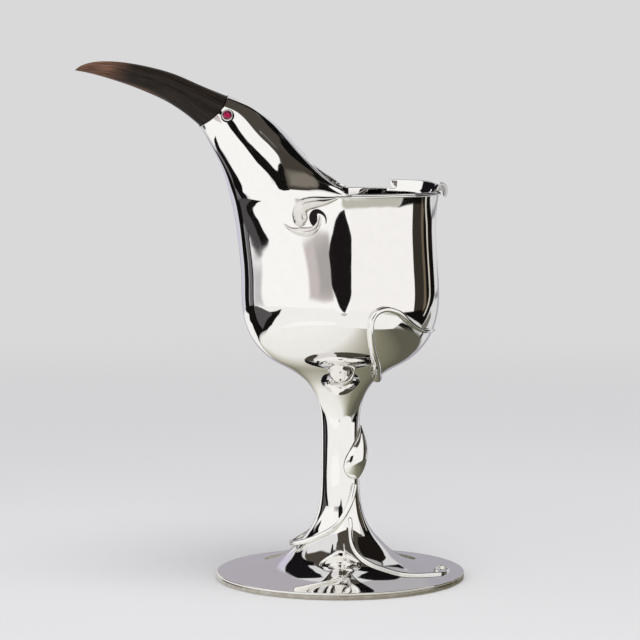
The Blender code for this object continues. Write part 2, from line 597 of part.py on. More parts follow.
def make_leaf(silver, axis):
    """The leaf wrapped round the stem: a sheet that swells off the stem and comes to a point."""
    u = np.linspace(0, 1, 13)
    v = np.linspace(-1, 1, 11)
    points = []
    for along in u:
        height = LEAF_BASE_HEIGHT + LEAF_LENGTH * along
        middle = LEAF_BASE_ANGLE + (LEAF_TIP_ANGLE - LEAF_BASE_ANGLE) * along
        swell = math.sin(math.pi * along**0.8) ** 0.8 * (1 - 0.35 * along)
        half = LEAF_NARROW_SPREAD + LEAF_HALF_SPREAD * swell
        for across in v:
            lift = GAP + LEAF_LIFT * math.sin(math.pi * along**0.9) * (1 - across**2)
            points.append(body_point(middle + half * across, height, lift + LEAF_SHEET))
    n = len(v)
    faces = [(i * n + j, i * n + j + 1, (i + 1) * n + j + 1, (i + 1) * n + j)
             for i in range(len(u) - 1) for j in range(n - 1)]
    mesh = bpy.data.meshes.new("stem_leaf")
    mesh.from_pydata(points, [], faces)
    mesh.shade_smooth()
    leaf = add_object("stem_leaf", mesh, silver, axis)
    sheet = leaf.modifiers.new("sheet", "SOLIDIFY")
    sheet.thickness, sheet.offset = LEAF_SHEET, -1.0


def main():
    for item in list(bpy.data.objects):
        bpy.data.objects.remove(item, do_unlink=True)
    axis = bpy.data.objects.new("stem_axis", None)
    bpy.context.collection.objects.link(axis)
    axis.location.x = (-BEAK_TIP[0] - FOOT_RADIUS) / 2
    silver = finish("polished_silver", (0.86, 0.85, 0.83), 0.06, 1.0)
    horn = finish("dark_horn", (0.045, 0.028, 0.02), 0.35, 0.0)
    garnet = finish("garnet", (0.25, 0.01, 0.03), 0.05, 0.0)
    make_foot(silver, axis)
    make_stem(silver, axis)
    make_bowl(silver, axis)
    make_neck(silver, axis)
    make_beak(horn, axis)
    make_pin(silver, axis)
    make_eyes(silver, garnet, axis)
    make_rim_wire(silver, axis)
    make_volutes(silver, axis)
    make_rim_band(silver, axis)
    make_band_curl(silver, axis)
    make_tendrils(silver, axis)
    make_leaf(silver, axis)
    bpy.context.view_layer.update()


main()
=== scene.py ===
"""The looks of a silver goblet whose bowl runs up into a long-beaked bird's head.

Metres, +Z up; the beak points along -X and the photograph's side is -Y.
Shapes are worked out in millimetres about the stem's axis. That axis stands beside the origin,
so that the origin lies under the middle of the whole cup, and each piece is moved there as it
is made. Angles round the axis are in degrees: 0 is away from the beak, minus is the near side.
"""
import math

import bpy
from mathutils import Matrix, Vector
import numpy as np


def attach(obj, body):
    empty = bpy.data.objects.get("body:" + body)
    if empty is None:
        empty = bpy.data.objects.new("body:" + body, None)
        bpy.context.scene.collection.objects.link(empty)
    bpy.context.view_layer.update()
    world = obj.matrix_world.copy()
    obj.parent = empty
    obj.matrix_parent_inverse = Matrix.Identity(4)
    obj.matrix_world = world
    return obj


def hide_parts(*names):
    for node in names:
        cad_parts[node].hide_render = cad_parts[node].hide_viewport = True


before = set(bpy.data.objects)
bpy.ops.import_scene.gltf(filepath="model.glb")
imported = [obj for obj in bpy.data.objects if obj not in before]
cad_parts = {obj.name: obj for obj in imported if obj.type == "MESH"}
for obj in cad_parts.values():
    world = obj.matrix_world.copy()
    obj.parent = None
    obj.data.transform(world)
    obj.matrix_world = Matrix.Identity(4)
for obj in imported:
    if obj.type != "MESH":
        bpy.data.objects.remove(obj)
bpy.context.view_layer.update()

MM = 0.001
AXIS_X = 33.2

# Outline of foot, stem, calyx and bowl, as radius and height, foot edge to rim
BODY_GUIDE = [(59.2, 2.9), (45.2, 4.2), (35.1, 6.6), (25.6, 11.5), (19.1, 17.7), (15.1, 22.4),
              (12.1, 28.0), (10.3, 34.0), (9.4, 40.5), (9.1, 47.0), (9.05, 57.0), (9.05, 67.0),
              (9.2, 75.0), (9.9, 81.5), (11.6, 87.2), (14.1, 91.8), (16.9, 95.2), (19.8, 97.6),
              (25.5, 101.2), (33.0, 105.4), (38.8, 110.6), (43.2, 117.1), (45.9, 124.8),
              (47.05, 133.5), (46.9, 143.0), (46.1, 154.5), (45.45, 166.0), (45.6, 174.0),
              (46.2, 180.0), (46.95, 185.05)]
FOOT_EDGE = 2.9
FOOT_TOP = 45.0
FOOT_RADIUS = 59.4
FOOT_BAND = (56.8, 1.9)
CALYX_EDGE = 97.6
BOWL_FLOOR_EDGE = 107.0
RIM_RADIUS = 46.95
RIM_HEIGHT = 185.05
RIM_WIRE_SPREAD = 93.0
RIM_WIRE_RADIUS = 0.6
SPOUT_SWING = [(134.0, 0.0), (143.0, 0.25), (151.0, 1.2), (159.0, 2.6), (168.0, 4.0), (176.5, 5.05),
               (185.05, 5.95)]
SPOUT_SPREAD = (88.0, 158.0)
WALL = 1.0
STEM_WALL = 1.1
EDGE_ROWS = 7
THINNEST_END = 0.02

# Neck and head, in the middle plane: X and height, from the rim or the arch to the beak's joint.
# Its columns are NECK_COLUMN degrees apart, and the bowl shares them from SHARED_HEIGHT up.
THROAT_GUIDE = [(-52.9, 185.05), (-54.4, 191.0), (-56.5, 196.8), (-58.9, 202.0), (-61.6, 207.2),
                (-64.2, 212.0), (-66.7, 216.2)]
CROWN_GUIDE = [(-13.5, 198.0), (-16.5, 202.1), (-21.7, 208.2), (-29.2, 216.1), (-34.9, 220.4),
               (-43.4, 226.1), (-53.5, 230.5)]
NECK_HALF_WIDTH = [(0.0, 25.0), (0.25, 19.8), (0.5, 14.6), (0.75, 10.8), (1.0, 8.7)]
ARCH_SPREAD = 80.0
ARCH_FOOT = 3.0
ARCH_FULLNESS = 0.12
JOINT_HOLLOW = 0.06
NECK_TENSION = 1.5
NECK_COLUMN = 1.25
SHARED_HEIGHT = 150.0

# Beak: its upper and lower edge in the middle plane
CULMEN_GUIDE = [(-53.5, 230.5), (-66.6, 235.7), (-78.4, 240.8), (-90.7, 244.3), (-101.6, 246.3),
                (-110.1, 246.95), (-116.0, 246.7), (-121.0, 245.6), (-124.3, 244.0), (-125.7, 242.8)]
GONYS_GUIDE = [(-66.5, 216.2), (-71.4, 220.5), (-76.1, 224.0), (-81.8, 227.6), (-90.8, 231.9),
               (-99.3, 235.3), (-108.8, 238.5), (-116.0, 240.6), (-121.6, 241.9), (-125.5, 242.6)]
TANG_DEPTH, TANG_INSET, TANG_TAPER = 12.0, 1.35, 0.88
SEAM_RADIUS = 0.3

# Eye
EYE_PLACE = (-53.1, 221.0)
EYE_RADIUS = 2.1
COLLET_RADIUS = 2.75
COLLET_HEIGHT = 1.5
STONE_SIDES = 12

# Studio: lengths in mm, but the places of lamp and camera in metres
BACKDROP = "#D9D9DA"
FLOOR = "#DFDFE0"
FLOOR_RADIUS = 6000.0
FLOOR_HEIGHT = -0.3
STUDIO_HEIGHT = 150.0
CARD_CELL = 1.0
CARD_STEP = 0.001
TABLE_RADIUS = 300.0
# Azimuth towards which the table top's painted light is brightest
TABLE_PAINTED_LIGHT_SIDE = -150.0
LIGHT_CARDS = ("left_panel", "right_panel")
LAMP_PLACE, LAMP_AIM = (0.3, -0.4, 1.6), (0.0, 0.0, 0.1)
CAMERA_PLACE = (0.02356, -1.2313, 0.2339)
CAMERA_DOWN, CAMERA_ROLL = 5.109, 0.039

# Cards that the polished silver mirrors: name, colour, softness of the edge in degrees, distance in mm
# and outline in azimuth (from +X towards +Y) and elevation. Later cards hang in front of earlier ones.
# Those at arm's length and close over the head shift against the far ones from one part of the cup to
# the next, as the things on a photographer's table do.
FAR, MIDDLE, OVERHEAD = 4000.0, 300.0, 106.0
CARDS = [
    ("ceiling", "#4A453E", 2.0, FAR, [(-270, 60), (-230, 60), (-215, 40), (-100, 40), (-20, 40), (40, 38),
        (62, 42), (72, 62), (90, 50), (90, 89.5), (-270, 89.5)]),
    ("foot_ridge", "#E4E2E4", 1.5, FAR, [(-215, 36), (-212, 45), (-196, 54), (-180, 61), (-165, 69),
        (-150, 74), (-120, 75), (-105, 70), (-105, 50), (-215, 34)]),
    ("left_panel", "#FEFDFC", 1.2, FAR, [(-209, -30), (-60, -30), (-60, 45), (-105, 55), (-142, 55),
        (-158, 50), (-170, 47), (-195, 47), (-213, 36), (-212, 10), (-209, -3)]),
    ("left_shade", "#C6C4C6", 6.0, FAR, [(-209, -2), (-196, -2), (-190, -9), (-209, -9)]),
    ("rose_shade", "#C8C0BF", 5.0, FAR, [(-125, 14), (-98, 14), (-98, -4), (-108, -5.5), (-125, -3.5)]),
    ("grey_shade", "#ABA7A5", 7.0, FAR, [(-113, 14), (-98, 14), (-98, -2), (-113, -1)]),
    ("right_panel", "#F9F7F6", 0.5, FAR, [(-77.5, 40), (5.5, 40), (5.5, -12.5), (-20, -14), (-45, -15.5),
        (-78, -16)]),
    ("panel_foot", "#BDBBB1", 1.6, FAR, [(-100, -15.2), (-78, -16), (-45, -15.6), (-18, -13.9),
        (-4, -16.2), (-20, -17.5), (-45, -18.8), (-78, -19.5), (-100, -17)]),
    ("front_gap", "#1A1617", 0.8, FAR, [(-100, 25), (-77, 25), (-77, 0), (-79, -4), (-81.5, -9),
        (-84.5, -15.5), (-88, -13), (-91, -9), (-94, -3), (-97, 0.5), (-100, 2.6)]),
    ("wall_grey", "#4A4849", 0.5, FAR, [(-224, -9.6), (-182, -9.6), (-186, -12), (-195, -15),
        (-212, -15.5), (-224, -13)]),
    ("wall_band", "#161413", 0.5, FAR, [(-210, -14), (-200, -13.6), (-192, -12), (-187, -10.6),
        (-183, -9.6), (-169, -9.6), (-177, -12.0), (-185, -14.8), (-195, -15.8), (-210, -16)]),
    ("back_post", "#100F10", 2.0, FAR, [(-238, 60), (-223, 60), (-223, -12), (-238, -12)]),
    ("post_line", "#1E1C1D", 1.0, FAR, [(-214, 0), (-211, 0), (-210.5, -10), (-214, -10)]),
    ("post_grey", "#6C6A6C", 1.0, FAR, [(-222, 0), (-214, 0), (-214, -10), (-222, -10)]),
    ("right_wall", "#35312A", 0.8, FAR, [(5.5, 12), (26, 40), (26, -17), (5.5, -13)]),
    ("right_black", "#12100E", 0.8, FAR, [(24, 46), (52, 46), (52, -4), (40, -9), (30, -20), (10, -18.5),
        (-4, -16), (-18, -13.8), (5, -12.4), (24, -10)]),
    ("right_slit", "#D3CDC2", 1.0, FAR, [(35, 20), (38.5, 20), (38.5, -4), (28, -14), (25.5, -14),
        (35, -4)]),
    ("right_tan", "#6B5F50", 1.2, FAR, [(25, 20), (28, 20), (28, -8), (22, -12)]),
    ("right_line", "#8F8C93", 0.8, FAR, [(52, -4.2), (80, -3.4), (80, -4.4), (52, -5.6)]),
    ("right_low", "#16130F", 1.0, FAR, [(-20, -24.5), (-8, -22.5), (10, -24.5), (24, -27.5), (40, -28),
        (41, -22), (46, -22), (50, -29), (58, -30), (40, -32), (20, -31.5), (0, -28.5)]),
    ("right_grey", "#77736A", 2.0, FAR, [(30, -20), (42, -10), (47, -12), (44, -21), (36, -23)]),
    ("left_fringe", "#CFCBDC", 4.0, FAR, [(-262, 30), (-242, 30), (-242, -30), (-262, -30)]),
    ("crown_line", "#0F0E0E", 1.2, FAR, [(59.5, 62), (59.5, 50), (61, 43), (65, 34), (67.5, 29), (70, 24),
        (75, 22), (74, 30), (72.5, 38), (73, 50), (74, 62), (70, 68)]),
    ("foot_pale", "#ABA7B0", 4.0, MIDDLE, [(52, -3), (80, -2), (90, -8), (90, -36), (52, -36)]),
    ("foot_black", "#171518", 1.5, MIDDLE, [(-265, 14), (-255, 11), (-242, 8), (-232, -4), (-226, -4),
        (-224, 18), (-224, 30), (-236, 42), (-252, 43), (-266, 36), (-270, 28)]),
    ("foot_dark", "#1A1715", 1.5, MIDDLE, [(-6, 40), (12, 41), (30, 31), (43, 20), (45, 6), (40, 0),
        (28, 2), (10, 18), (-6, 28)]),
    ("foot_band", "#B0AEB2", 1.5, MIDDLE, [(8, 47), (25, 39), (42, 31), (52, 20), (60, 4), (68, -8),
        (80, -24), (80, 12), (72, 12), (64, 6), (60, 14), (52, 24), (45, 22), (30, 31), (12, 41)]),
    ("foot_edge", "#141213", 1.2, MIDDLE, [(52, 33), (60, 34), (70, 32), (75, 26), (74, 12), (71, 3),
        (67, 1), (64, 10), (60, 22)]),
    ("throat_black", "#121010", 2.0, MIDDLE, [(-234, -4.2), (-190, -4.2), (-192, 2), (-197, 6),
        (-194, 17), (-212, 12), (-232, 6)]),
    ("throat_streak", "#6E6C6E", 1.5, MIDDLE, [(-219, 4), (-214, 3), (-208, -4.2), (-223, -4.2)]),
    ("low_front", "#F6F5F3", 1.0, MIDDLE, [(-262, -12.2), (-91, -12.5), (-85, -14.5), (-80, -20.3),
        (-76, -17.5), (-74.5, -12.5), (-40, -15.5), (-12, -18), (-22, -28), (-45, -31), (-60, -32.5),
        (-80, -31.5), (-88, -27), (-99, -25.5), (-130, -26), (-200, -36), (-262, -34)]),
    ("low_black", "#121110", 0.8, MIDDLE, [(-238, -11.5), (-206, -11.5), (-206, -16), (-201, -20),
        (-180, -17), (-165, -16), (-155, -14.3), (-160, -19), (-166, -22), (-178, -28), (-194, -32),
        (-206, -36), (-222, -38), (-238, -37), (-250, -33), (-246, -31), (-238, -31), (-229, -29),
        (-226, -26), (-224, -21), (-229, -18), (-225, -15), (-236, -13)]),
    ("low_grey", "#545254", 0.6, MIDDLE, [(-206, -12), (-201, -12), (-189, -13.5), (-180, -15.5),
        (-173, -17), (-171, -19), (-182, -22), (-193, -26.5), (-201, -29.5), (-204, -25), (-206, -20),
        (-206, -16)]),
    ("foot_grey", "#B0ABB3", 4.0, MIDDLE, [(-275, 13), (-258, 13), (-256, 4), (-253, -8), (-253, -20),
        (-258, -36), (-275, -36)]),
    ("crown_fringe", "#CDCCD2", 1.5, OVERHEAD, [(59.6, 63), (62.8, 53.3), (60.1, 48.2), (60.7, 38.7),
        (64.8, 39.1), (100.7, 41.7), (92.7, 44.5), (84.1, 59.3), (74.5, 64), (68.3, 63.4)]),
    ("hood_shade", "#433E37", 1.5, OVERHEAD, [(-122.8, 59.6), (-101.7, 69.8), (-94.9, 74.7),
        (-92.2, 78.5), (-64.5, 81.5), (-17.8, 79.1), (-24.6, 70.9), (-57.8, 66.6), (-76.5, 49.8),
        (-78.4, 50.1), (-111, 51.8)]),
    ("hood_light", "#7D776E", 5.0, OVERHEAD, [(-101, 63.7), (-75.8, 66.9), (-71.9, 61.1), (-77.1, 53.8),
        (-88.4, 56.3), (-102.8, 57.9)]),
    ("hood_edge", "#131110", 1.0, OVERHEAD, [(-78.3, 53.2), (-75.9, 55.7), (-73.9, 61.5), (-63.9, 67.8),
        (-33.4, 72.8), (-4, 69.5), (-31.2, 35.7), (-75.5, 48.9)]),
    ("neck_stripe", "#FDFCFB", 0.7, OVERHEAD, [(-140, 64), (-134, 64), (-129, 64.5), (-125, 64.8),
        (-120, 63.5), (-116, 62), (-113, 62.6), (-110, 65.5), (-107, 67.3), (-104, 69), (-100.5, 72),
        (-98.5, 74.2), (-100, 75.8), (-106, 77), (-113, 77), (-119, 77), (-123, 76), (-128, 73),
        (-134, 70), (-140, 67)]),
    ("hood_black", "#131110", 0.7, OVERHEAD, [(-136, 65.5), (-141, 62.5), (-144.5, 60), (-143, 58.5),
        (-138, 57.3), (-133, 57.3), (-127, 57), (-122, 56.3), (-120, 54), (-118, 50), (-112, 47.5),
        (-104, 50), (-107, 58), (-104, 64), (-104, 68), (-107.5, 66.7), (-110.5, 65), (-113, 62),
        (-116, 61.6), (-120, 63), (-125, 64.3), (-130, 65)]),
]


# Lines and surfaces


def cubic_through(knots, values, at):
    """The natural cubic spline through the values at the knots, read at each place in at.

    Each span is a cubic; the second derivatives at the knots solve the usual three-term rows.
    """
    knots, values, at = (np.asarray(a, dtype=float) for a in (knots, values, at))
    n, h = len(knots), np.diff(knots)
    flat = values.reshape(n, -1)
    rows = np.zeros((n, n))
    rows[0, 0] = rows[-1, -1] = 1.0
    i = np.arange(1, n - 1)
    rows[i, i - 1], rows[i, i], rows[i, i + 1] = h[:-1], 2 * (h[:-1] + h[1:]), h[1:]
    bend = np.zeros_like(flat)
    bend[1:-1] = 6 * np.diff(np.diff(flat, axis=0) / h[:, None], axis=0)
    bend = np.linalg.solve(rows, bend)
    j = np.clip(np.searchsorted(knots, at, side="right") - 1, 0, n - 2)
    left, right, step = (knots[j + 1] - at)[:, None], (at - knots[j])[:, None], h[j][:, None]
    out = ((bend[j] * left**3 + bend[j + 1] * right**3) / (6 * step)
           + (flat[j] / step - bend[j] * step / 6) * left
           + (flat[j + 1] / step - bend[j + 1] * step / 6) * right)
    return out.reshape(at.shape + values.shape[1:])


def flowing(points, shares):
    """A smooth line through the points, read at the given shares of its length."""
    points = np.asarray(points, dtype=float)
    chord = np.concatenate([[0.0], np.cumsum(np.linalg.norm(np.diff(points, axis=0), axis=1))])
    fine = cubic_through(chord, points, np.linspace(0, chord[-1], 2000))
    along = np.concatenate([[0.0], np.cumsum(np.linalg.norm(np.diff(fine, axis=0), axis=1))])
    at = np.asarray(shares) * along[-1]
    return np.stack([np.interp(at, along, fine[:, i]) for i in range(fine.shape[1])], axis=1)


def smooth_step(low, high, value):
    """0 below low, 1 above high, and a smooth S between."""
    share = np.clip((value - low) / (high - low), 0.0, 1.0)
    return share * share * (3 - 2 * share)


def unit(vectors):
    return vectors / np.linalg.norm(vectors, axis=-1, keepdims=True).clip(1e-12)


def heading(path):
    """The direction of a path at each of its points."""
    return unit(np.gradient(path, axis=0))


def length_of(path):
    return np.linalg.norm(np.diff(path, axis=0), axis=1).sum()


def grid_normals(grid, wraps=True):
    """Normals of a grid of points: across its columns times along its rows, as a cross product."""
    along = np.gradient(grid, axis=0)
    across = np.roll(grid, -1, axis=1) - np.roll(grid, 1, axis=1) if wraps else np.gradient(grid, axis=1)
    return unit(np.cross(across, along))


def ring_of(radius, height, angle):
    """Points at radius and height round the axis: x = r cos a, y = r sin a."""
    radius, height, angle = np.broadcast_arrays(radius, height, angle)
    return np.stack([radius * np.cos(angle), radius * np.sin(angle), height], axis=-1)


BODY_LINE = flowing(BODY_GUIDE, np.linspace(0, 1, 4000))
SWING_LINE = flowing([(110.0, 0.0), (124.0, 0.0)] + SPOUT_SWING, np.linspace(0, 1, 600))


def turned_radius(height):
    return np.interp(height, BODY_LINE[:, 1], BODY_LINE[:, 0])


def spout_swing(angle, height):
    """How far the bowl's wall swings out towards the beak: a smooth hump round the axis, times
    a curve of the height."""
    turned = np.degrees(np.abs(np.mod(angle + math.pi, 2 * math.pi) - math.pi))
    return np.interp(height, SWING_LINE[:, 0], SWING_LINE[:, 1]) * smooth_step(*SPOUT_SPREAD, turned)


def body_place(angle_deg, height):
    """Points of the outer skin and its outward normals, at angles and heights on foot, stem or bowl."""
    angle, height = np.radians(angle_deg), np.asarray(height, dtype=float)
    turn, step = 0.005, 0.05

    def at(a, h):
        return ring_of(turned_radius(h) + spout_swing(a, h), h, a)

    normal = np.cross(at(angle + turn, height) - at(angle - turn, height),
                      at(angle, height + step) - at(angle, height - step))
    return at(angle, height), unit(normal)


# Meshes


def closed_skin(name, rings, ends, sharp=50.0, seam_normals=None):
    """A closed mesh in metres over rings of points in millimetres about the stem's axis.

    The rings are rows by columns by three. Columns wrap round. The rows wrap too where ends is
    "loop"; with "caps" the first and last rings are fanned to their middles. Seam normals, given
    as rows by columns by three for the first rows, shade those rows; zeros leave a corner alone.
    Faces are turned to point outwards: their signed volume has to come out positive.
    """
    rings = np.asarray(rings, dtype=float)
    rows, columns = rings.shape[:2]
    spans = rows if ends == "loop" else rows - 1
    r, c = np.meshgrid(np.arange(spans), np.arange(columns), indexing="ij")
    nr, nc = (r + 1) % rows, (c + 1) % columns
    corners = np.stack([r * columns + c, r * columns + nc, nr * columns + nc, nr * columns + c], axis=-1)
    u = np.stack([c, c + 1, c + 1, c], axis=-1) / columns
    v = np.stack([r, r, r + 1, r + 1], axis=-1) / spans
    corners, uv = corners.reshape(-1), np.stack([u.reshape(-1), v.reshape(-1)], axis=-1)
    shading = np.zeros((len(corners), 3))
    if seam_normals is not None:
        known = np.zeros((rows * columns, 3))
        known[:seam_normals.size // 3] = seam_normals.reshape(-1, 3)
        shaded = 4 * columns * (len(seam_normals) - 1)
        shading[:shaded] = known[corners[:shaded]]
    starts = np.arange(0, len(corners), 4)
    points = rings.reshape(-1, 3)
    if ends == "caps":
        points = np.concatenate([points, rings[[0, -1]].mean(axis=1)])
        c, top = np.arange(columns), (rows - 1) * columns
        nc = (c + 1) % columns
        first = np.stack([np.full(columns, rows * columns), nc, c], axis=-1).reshape(-1)
        last = np.stack([np.full(columns, rows * columns + 1), top + c, top + nc], axis=-1).reshape(-1)
        starts = np.concatenate([starts, len(corners) + np.arange(0, 6 * columns, 3)])
        fan = np.stack([np.repeat(c, 3) / columns, np.zeros(3 * columns)], axis=-1)
        corners, uv = np.concatenate([corners, first, last]), np.concatenate([uv, fan, fan + [0.0, 1.0]])
        shading = np.concatenate([shading, np.zeros((6 * columns, 3))])
    sizes = np.diff(np.append(starts, len(corners)))
    face_start, face_size = np.repeat(starts, sizes), np.repeat(sizes, sizes)
    slot = np.arange(len(corners))
    after = corners[np.where(slot - face_start == face_size - 1, face_start, slot + 1)]
    crossed = np.cross(points[corners], points[after])
    volume = np.einsum("ij,ij->i", points[corners[face_start]], crossed).sum()
    if volume < 0:
        slot = 2 * face_start + face_size - 1 - slot
    mesh = bpy.data.meshes.new(name)
    mesh.vertices.add(len(points))
    mesh.vertices.foreach_set("co", ((points + [AXIS_X, 0.0, 0.0]) * MM).ravel())
    mesh.loops.add(len(corners))
    mesh.loops.foreach_set("vertex_index", corners[slot].astype(np.int32))
    mesh.polygons.add(len(starts))
    mesh.polygons.foreach_set("loop_start", starts.astype(np.int32))
    mesh.uv_layers.new(name="UVMap").data.foreach_set("uv", uv[slot].ravel())
    mesh.update(calc_edges=True)
    mesh.shade_smooth()
    mesh.set_sharp_from_angle(angle=math.radians(sharp))
    if seam_normals is not None:
        mesh.normals_split_custom_set(shading[slot])
    return mesh


def add_object(name, data):
    """A new object with this data, in the scene."""
    made = bpy.data.objects.new(name, data)
    bpy.context.collection.objects.link(made)
    return made


def add_piece(mesh, material, *nodes, slot="polished_silver"):
    """The mesh as a piece of the cup, standing for the CAD nodes that it replaces."""
    piece = add_object(mesh.name, mesh)
    piece.data.materials.append(material)
    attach(piece, "root")
    if nodes:
        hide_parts(*nodes)


def round_angles(count):
    """Angles evenly round a full turn."""
    return np.linspace(0, 2 * math.pi, count, endpoint=False)


def turned_mesh(name, outline):
    """A closed outline of radius and height, turned about the axis."""
    return closed_skin(name, ring_of(outline[:, :1], outline[:, 1:], round_angles(256)[None]), "loop")


def sheet_outline(outer, wall):
    """An outline's points and its points one wall further in, along the outline's normals."""
    along = heading(outer)
    return outer - wall * np.stack([along[:, 1], -along[:, 0]], axis=1)


def half_round(edge, inner, outward, bulge):
    """Rows that turn from one edge over to the other: the middle of the two, plus half their
    distance times the cosine, plus the bulge outward times the sine."""
    turn = np.linspace(0, math.pi, EDGE_ROWS + 2)[1:-1].reshape((-1,) + (1,) * edge.ndim)
    middle, half = (edge + inner) / 2, (edge - inner) / 2
    size = np.linalg.norm(half, axis=-1, keepdims=True)
    return middle + half * np.cos(turn) + outward * size * np.sin(turn) * np.asarray(bulge)[..., None]


def wire_mesh(name, path, up, radii, sides=20):
    """Drawn wire: circles round the path, in the plane of the up direction and the cross direction."""
    along = heading(path)
    across = unit(np.cross(along, up))
    rise = np.cross(across, along)
    turn = round_angles(sides)[None, :, None]
    thick = np.maximum(radii, THINNEST_END)[:, None, None]
    rings = path[:, None] + thick * (np.cos(turn) * across[:, None] + np.sin(turn) * rise[:, None])
    return closed_skin(name, rings, "caps")


def wire_shares(count):
    """Shares along a wire, close together towards both ends."""
    return 0.5 - 0.5 * np.cos(np.linspace(0, math.pi, count))


def round_off(shares, length, start, end):
    """Factors that round a wire's ends off: roots of a circle over the end radii."""
    a = np.clip(shares * length / start, 0, 1)
    b = np.clip((1 - shares) * length / end, 0, 1)
    return np.sqrt(1 - (1 - a) ** 2) * np.sqrt(1 - (1 - b) ** 2)


def body_wire(name, route, radii, sink, count):
    """Wire soldered on the body along a route of angles, heights and lifts.

    Its middle stands off the skin by its radius, less the share sink that the solder hides.
    """
    route = np.asarray(route, dtype=float)
    shares = wire_shares(count)
    scale = np.array([math.radians(1) * turned_radius(route[:, 1].mean()), 1.0, 1.0])
    line = flowing(route * scale, shares) / scale
    place, normal = body_place(line[:, 0], line[:, 1])
    length = length_of(place)
    thick = np.interp(shares, *zip(*radii))
    path = place + normal * (line[:, 2] + thick * (1 - sink))[:, None]
    return wire_mesh(name, path, normal, thick * round_off(shares, length, thick[0], thick[-1]))


# Neck: ovals from throat to crown, reached from the arch and the rim


def rim_angle(phi):
    """The angle on the rim, in radians, where each of the neck's columns starts."""
    foot_angle = math.acos(ARCH_FOOT / RIM_RADIUS)
    back = np.clip((np.abs(phi) - ARCH_SPREAD) / (180.0 - ARCH_SPREAD), 0.0, 1.0)
    return np.sign(phi) * (foot_angle + (math.pi - foot_angle) * back)


def arch_and_rim(phi):
    """Where the neck begins: on the arch over the mouth, and round the rim on the beak's side.

    The arch is a full half oval in a slanted plane; past it the line follows the bowl's rim.
    """
    a = np.clip(np.abs(phi) / ARCH_SPREAD, 0.0, 1.0) * math.pi / 2
    run = 1.0 - np.cos(a) + ARCH_FULLNESS * np.sin(2 * a) ** 2
    top_x, top_z = CROWN_GUIDE[0]
    x = top_x + (ARCH_FOOT - top_x) * run
    z = RIM_HEIGHT + (1.0 - run) * (top_z - RIM_HEIGHT)
    y = math.sqrt(RIM_RADIUS**2 - ARCH_FOOT**2) * np.sin(a) * np.sign(phi)
    angle = rim_angle(phi)
    radius = RIM_RADIUS + spout_swing(angle, RIM_HEIGHT)
    on_rim = (np.abs(phi) > ARCH_SPREAD)[..., None]
    return np.where(on_rim, ring_of(radius, RIM_HEIGHT, angle), np.stack([x, y, z], axis=-1))


THROAT = flowing(THROAT_GUIDE, np.linspace(0, 1, 400))
CROWN = flowing(CROWN_GUIDE, np.linspace(0, 1, 400))


def oval_ring(low, high, width, phi):
    """Ovals in slanted planes: the middle of low and high, plus half their distance times the
    cosine, plus the half width across times the sine."""
    middle, half = (low + high) / 2, (high - low) / 2
    a, b = np.cos(np.radians(phi)), np.sin(np.radians(phi))
    x, z = (middle[..., i] + half[..., i] * a for i in (0, 1))
    return np.stack([x, width * b, z], axis=-1)


def along_line(line, t):
    at = np.linspace(0, 1, len(line))
    return np.stack([np.interp(t, at, line[:, i]) for i in range(2)], axis=-1)


def neck_skin(t, phi):
    """The oval at share t, plus what the start line differs from the first oval.

    Round the neck that difference is a sum of waves. Each wave dies away with t by an exponential
    of its count, as in a stretched skin, so that corners of the start line soon smooth out; and
    all fade with t. The lines of throat and crown in the middle plane keep their places. The
    sides stop a little short of the joint, where the horn's edge bulges into the silver.
    """
    first = oval_ring(np.array(THROAT_GUIDE[0]), np.array(CROWN_GUIDE[0]), NECK_HALF_WIDTH[0][1], phi[0])
    waves = np.fft.rfft(arch_and_rim(phi[0]) - first, axis=0)
    count = np.arange(len(waves))[None, :, None]
    off = np.fft.irfft(waves[None] * np.exp(-NECK_TENSION * count * t[:, :1, None]), n=phi.shape[1], axis=1)
    crown_share = ((1 + np.cos(np.radians(phi))) / 2)[..., None]
    crown, throat = off[:, [phi.shape[1] // 2]], off[:, [0]]
    off = off - crown * crown_share - throat * (1 - crown_share)
    off = off * ((1.0 - t) ** 2 * (1.0 + 1.2 * t))[..., None]
    t = t * (1 - JOINT_HOLLOW * np.sin(np.radians(phi)) ** 2)
    shares, widths = np.array(NECK_HALF_WIDTH).T
    width = cubic_through(shares, widths, t.ravel()).reshape(t.shape)
    return oval_ring(along_line(THROAT, t), along_line(CROWN, t), width, phi) + off


def blurred(rows, sigma):
    """Rows of points averaged with their neighbours above and below, by a bell of that many rows."""
    reach = int(3 * sigma)
    weights = np.exp(-0.5 * (np.arange(-reach, reach + 1) / sigma) ** 2)
    weights /= weights.sum()
    padded = np.concatenate([2 * rows[:1] - rows[reach:0:-1], rows, 2 * rows[-1:] - rows[-2:-reach - 2:-1]])
    return sum(w * padded[k:k + len(rows)] for k, w in enumerate(weights))


